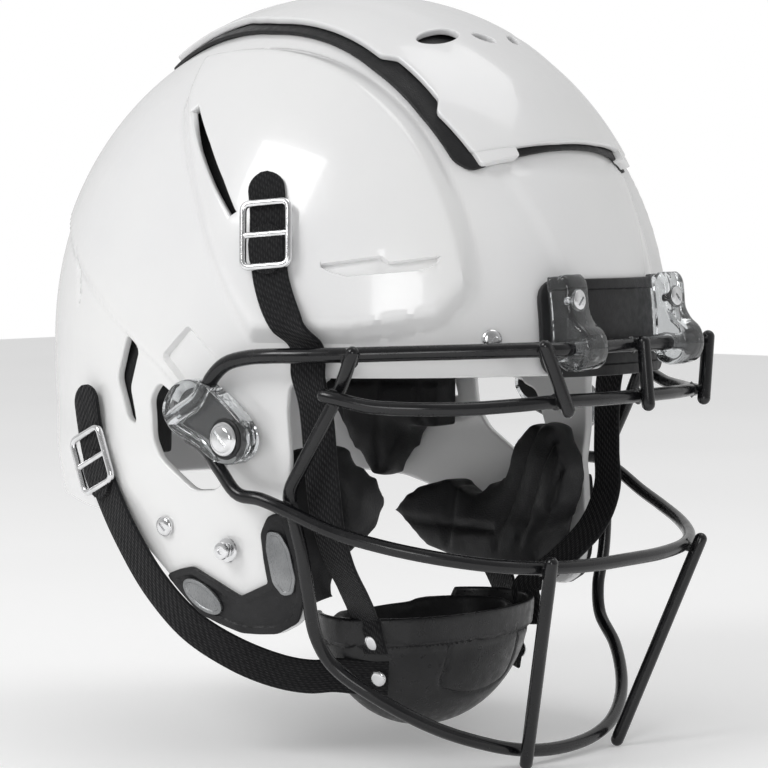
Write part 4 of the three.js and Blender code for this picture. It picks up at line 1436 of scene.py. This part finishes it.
def build_pads():
    for node, (body, voxel) in PADS.items():
        pad = remeshed(node, f"{node}_look", voxel)
        smooth_pad(pad)
        inflate(pad)
        subdivide = pad.modifiers.new("subdivide", "SUBSURF")
        subdivide.levels = 1
        apply_modifiers(pad)
        kind = node.removesuffix("_right").removesuffix("_left")
        if kind in CHANNELS:
            groove(pad, CHANNELS[kind], CHANNEL_DEPTH, CHANNEL_WIDTH)
        pad.data.polygons.foreach_set("use_smooth", [True] * len(pad.data.polygons))
        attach(pad, BODY[body])
        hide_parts(node)


build_pads()


# ---------------------------------------------------------- floor and lights

FLOOR_REACH = 3.0
FLOOR_GLOW = 0.18
LIGHTS = {
    "key": ((-1.5, 0.3, 1.2), 0.8, 13.5),
    "front": ((-1.6, -1.2, 0.4), 0.6, 5),
    "top": ((0.5, -0.4, 1.7), 0.9, 4),
}
# Strength of the surrounding light, far from the camera's side and on it
WORLD_FAR, WORLD_NEAR = 0.66, 0.27


def build_floor():
    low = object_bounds()[0][2]
    corners = [(x * FLOOR_REACH, y * FLOOR_REACH, low) for x, y in ((-1, -1), (1, -1), (1, 1), (-1, 1))]
    mesh = bpy.data.meshes.new("floor")
    mesh.from_pydata(corners, [], [(0, 1, 2, 3)])
    floor = add_object("floor", mesh)
    shader = Shader("floor_paper", (0.9, 0.9, 0.9), 0.8)
    shader.mottle(3, (0.885, 0.885, 0.885), (0.91, 0.91, 0.91))
    shader.set(Emission_Color=(1, 1, 1, 1), Emission_Strength=FLOOR_GLOW)
    mesh.materials.append(shader.material)


def area_light(name, where, size, power):
    data = bpy.data.lights.new(name, "AREA")
    data.energy = power
    data.size = size
    light = add_object(name, data)
    light.location = where
    light.rotation_euler = (Vector((0, 0, 0)) - Vector(where)).to_track_quat("-Z", "Y").to_euler()


def build_world():
    """A white room, dimmer on the camera's side, that the camera itself sees as plain white."""
    world = bpy.data.worlds.new("studio")
    world.use_nodes = True
    tree = world.node_tree
    coordinates = tree.nodes.new("ShaderNodeTexCoord")
    facing = tree.nodes.new("ShaderNodeVectorMath")
    facing.operation = "DOT_PRODUCT"
    facing.inputs[1].default_value = (*CAMERA_BACK[:2], 0)
    strength = tree.nodes.new("ShaderNodeMapRange")
    for name, value in (("From Min", -0.2), ("From Max", 0.9), ("To Min", WORLD_FAR), ("To Max", WORLD_NEAR)):
        strength.inputs[name].default_value = value
    tree.links.new(coordinates.outputs["Generated"], facing.inputs[0])
    tree.links.new(facing.outputs["Value"], strength.inputs["Value"])
    rays = tree.nodes.new("ShaderNodeLightPath")
    seen = tree.nodes.new("ShaderNodeMath")
    seen.operation = "MAXIMUM"
    tree.links.new(strength.outputs["Result"], seen.inputs[0])
    tree.links.new(rays.outputs["Is Camera Ray"], seen.inputs[1])
    tree.links.new(seen.outputs["Value"], tree.nodes["Background"].inputs["Strength"])
    tree.nodes["Background"].inputs["Color"].default_value = (1, 1, 1, 1)
    bpy.context.scene.world = world
    bpy.context.scene.view_settings.view_transform = "Standard"


build_floor()
build_world()
for light_name, (light_place, light_size, light_power) in LIGHTS.items():
    area_light(light_name, light_place, light_size, light_power)
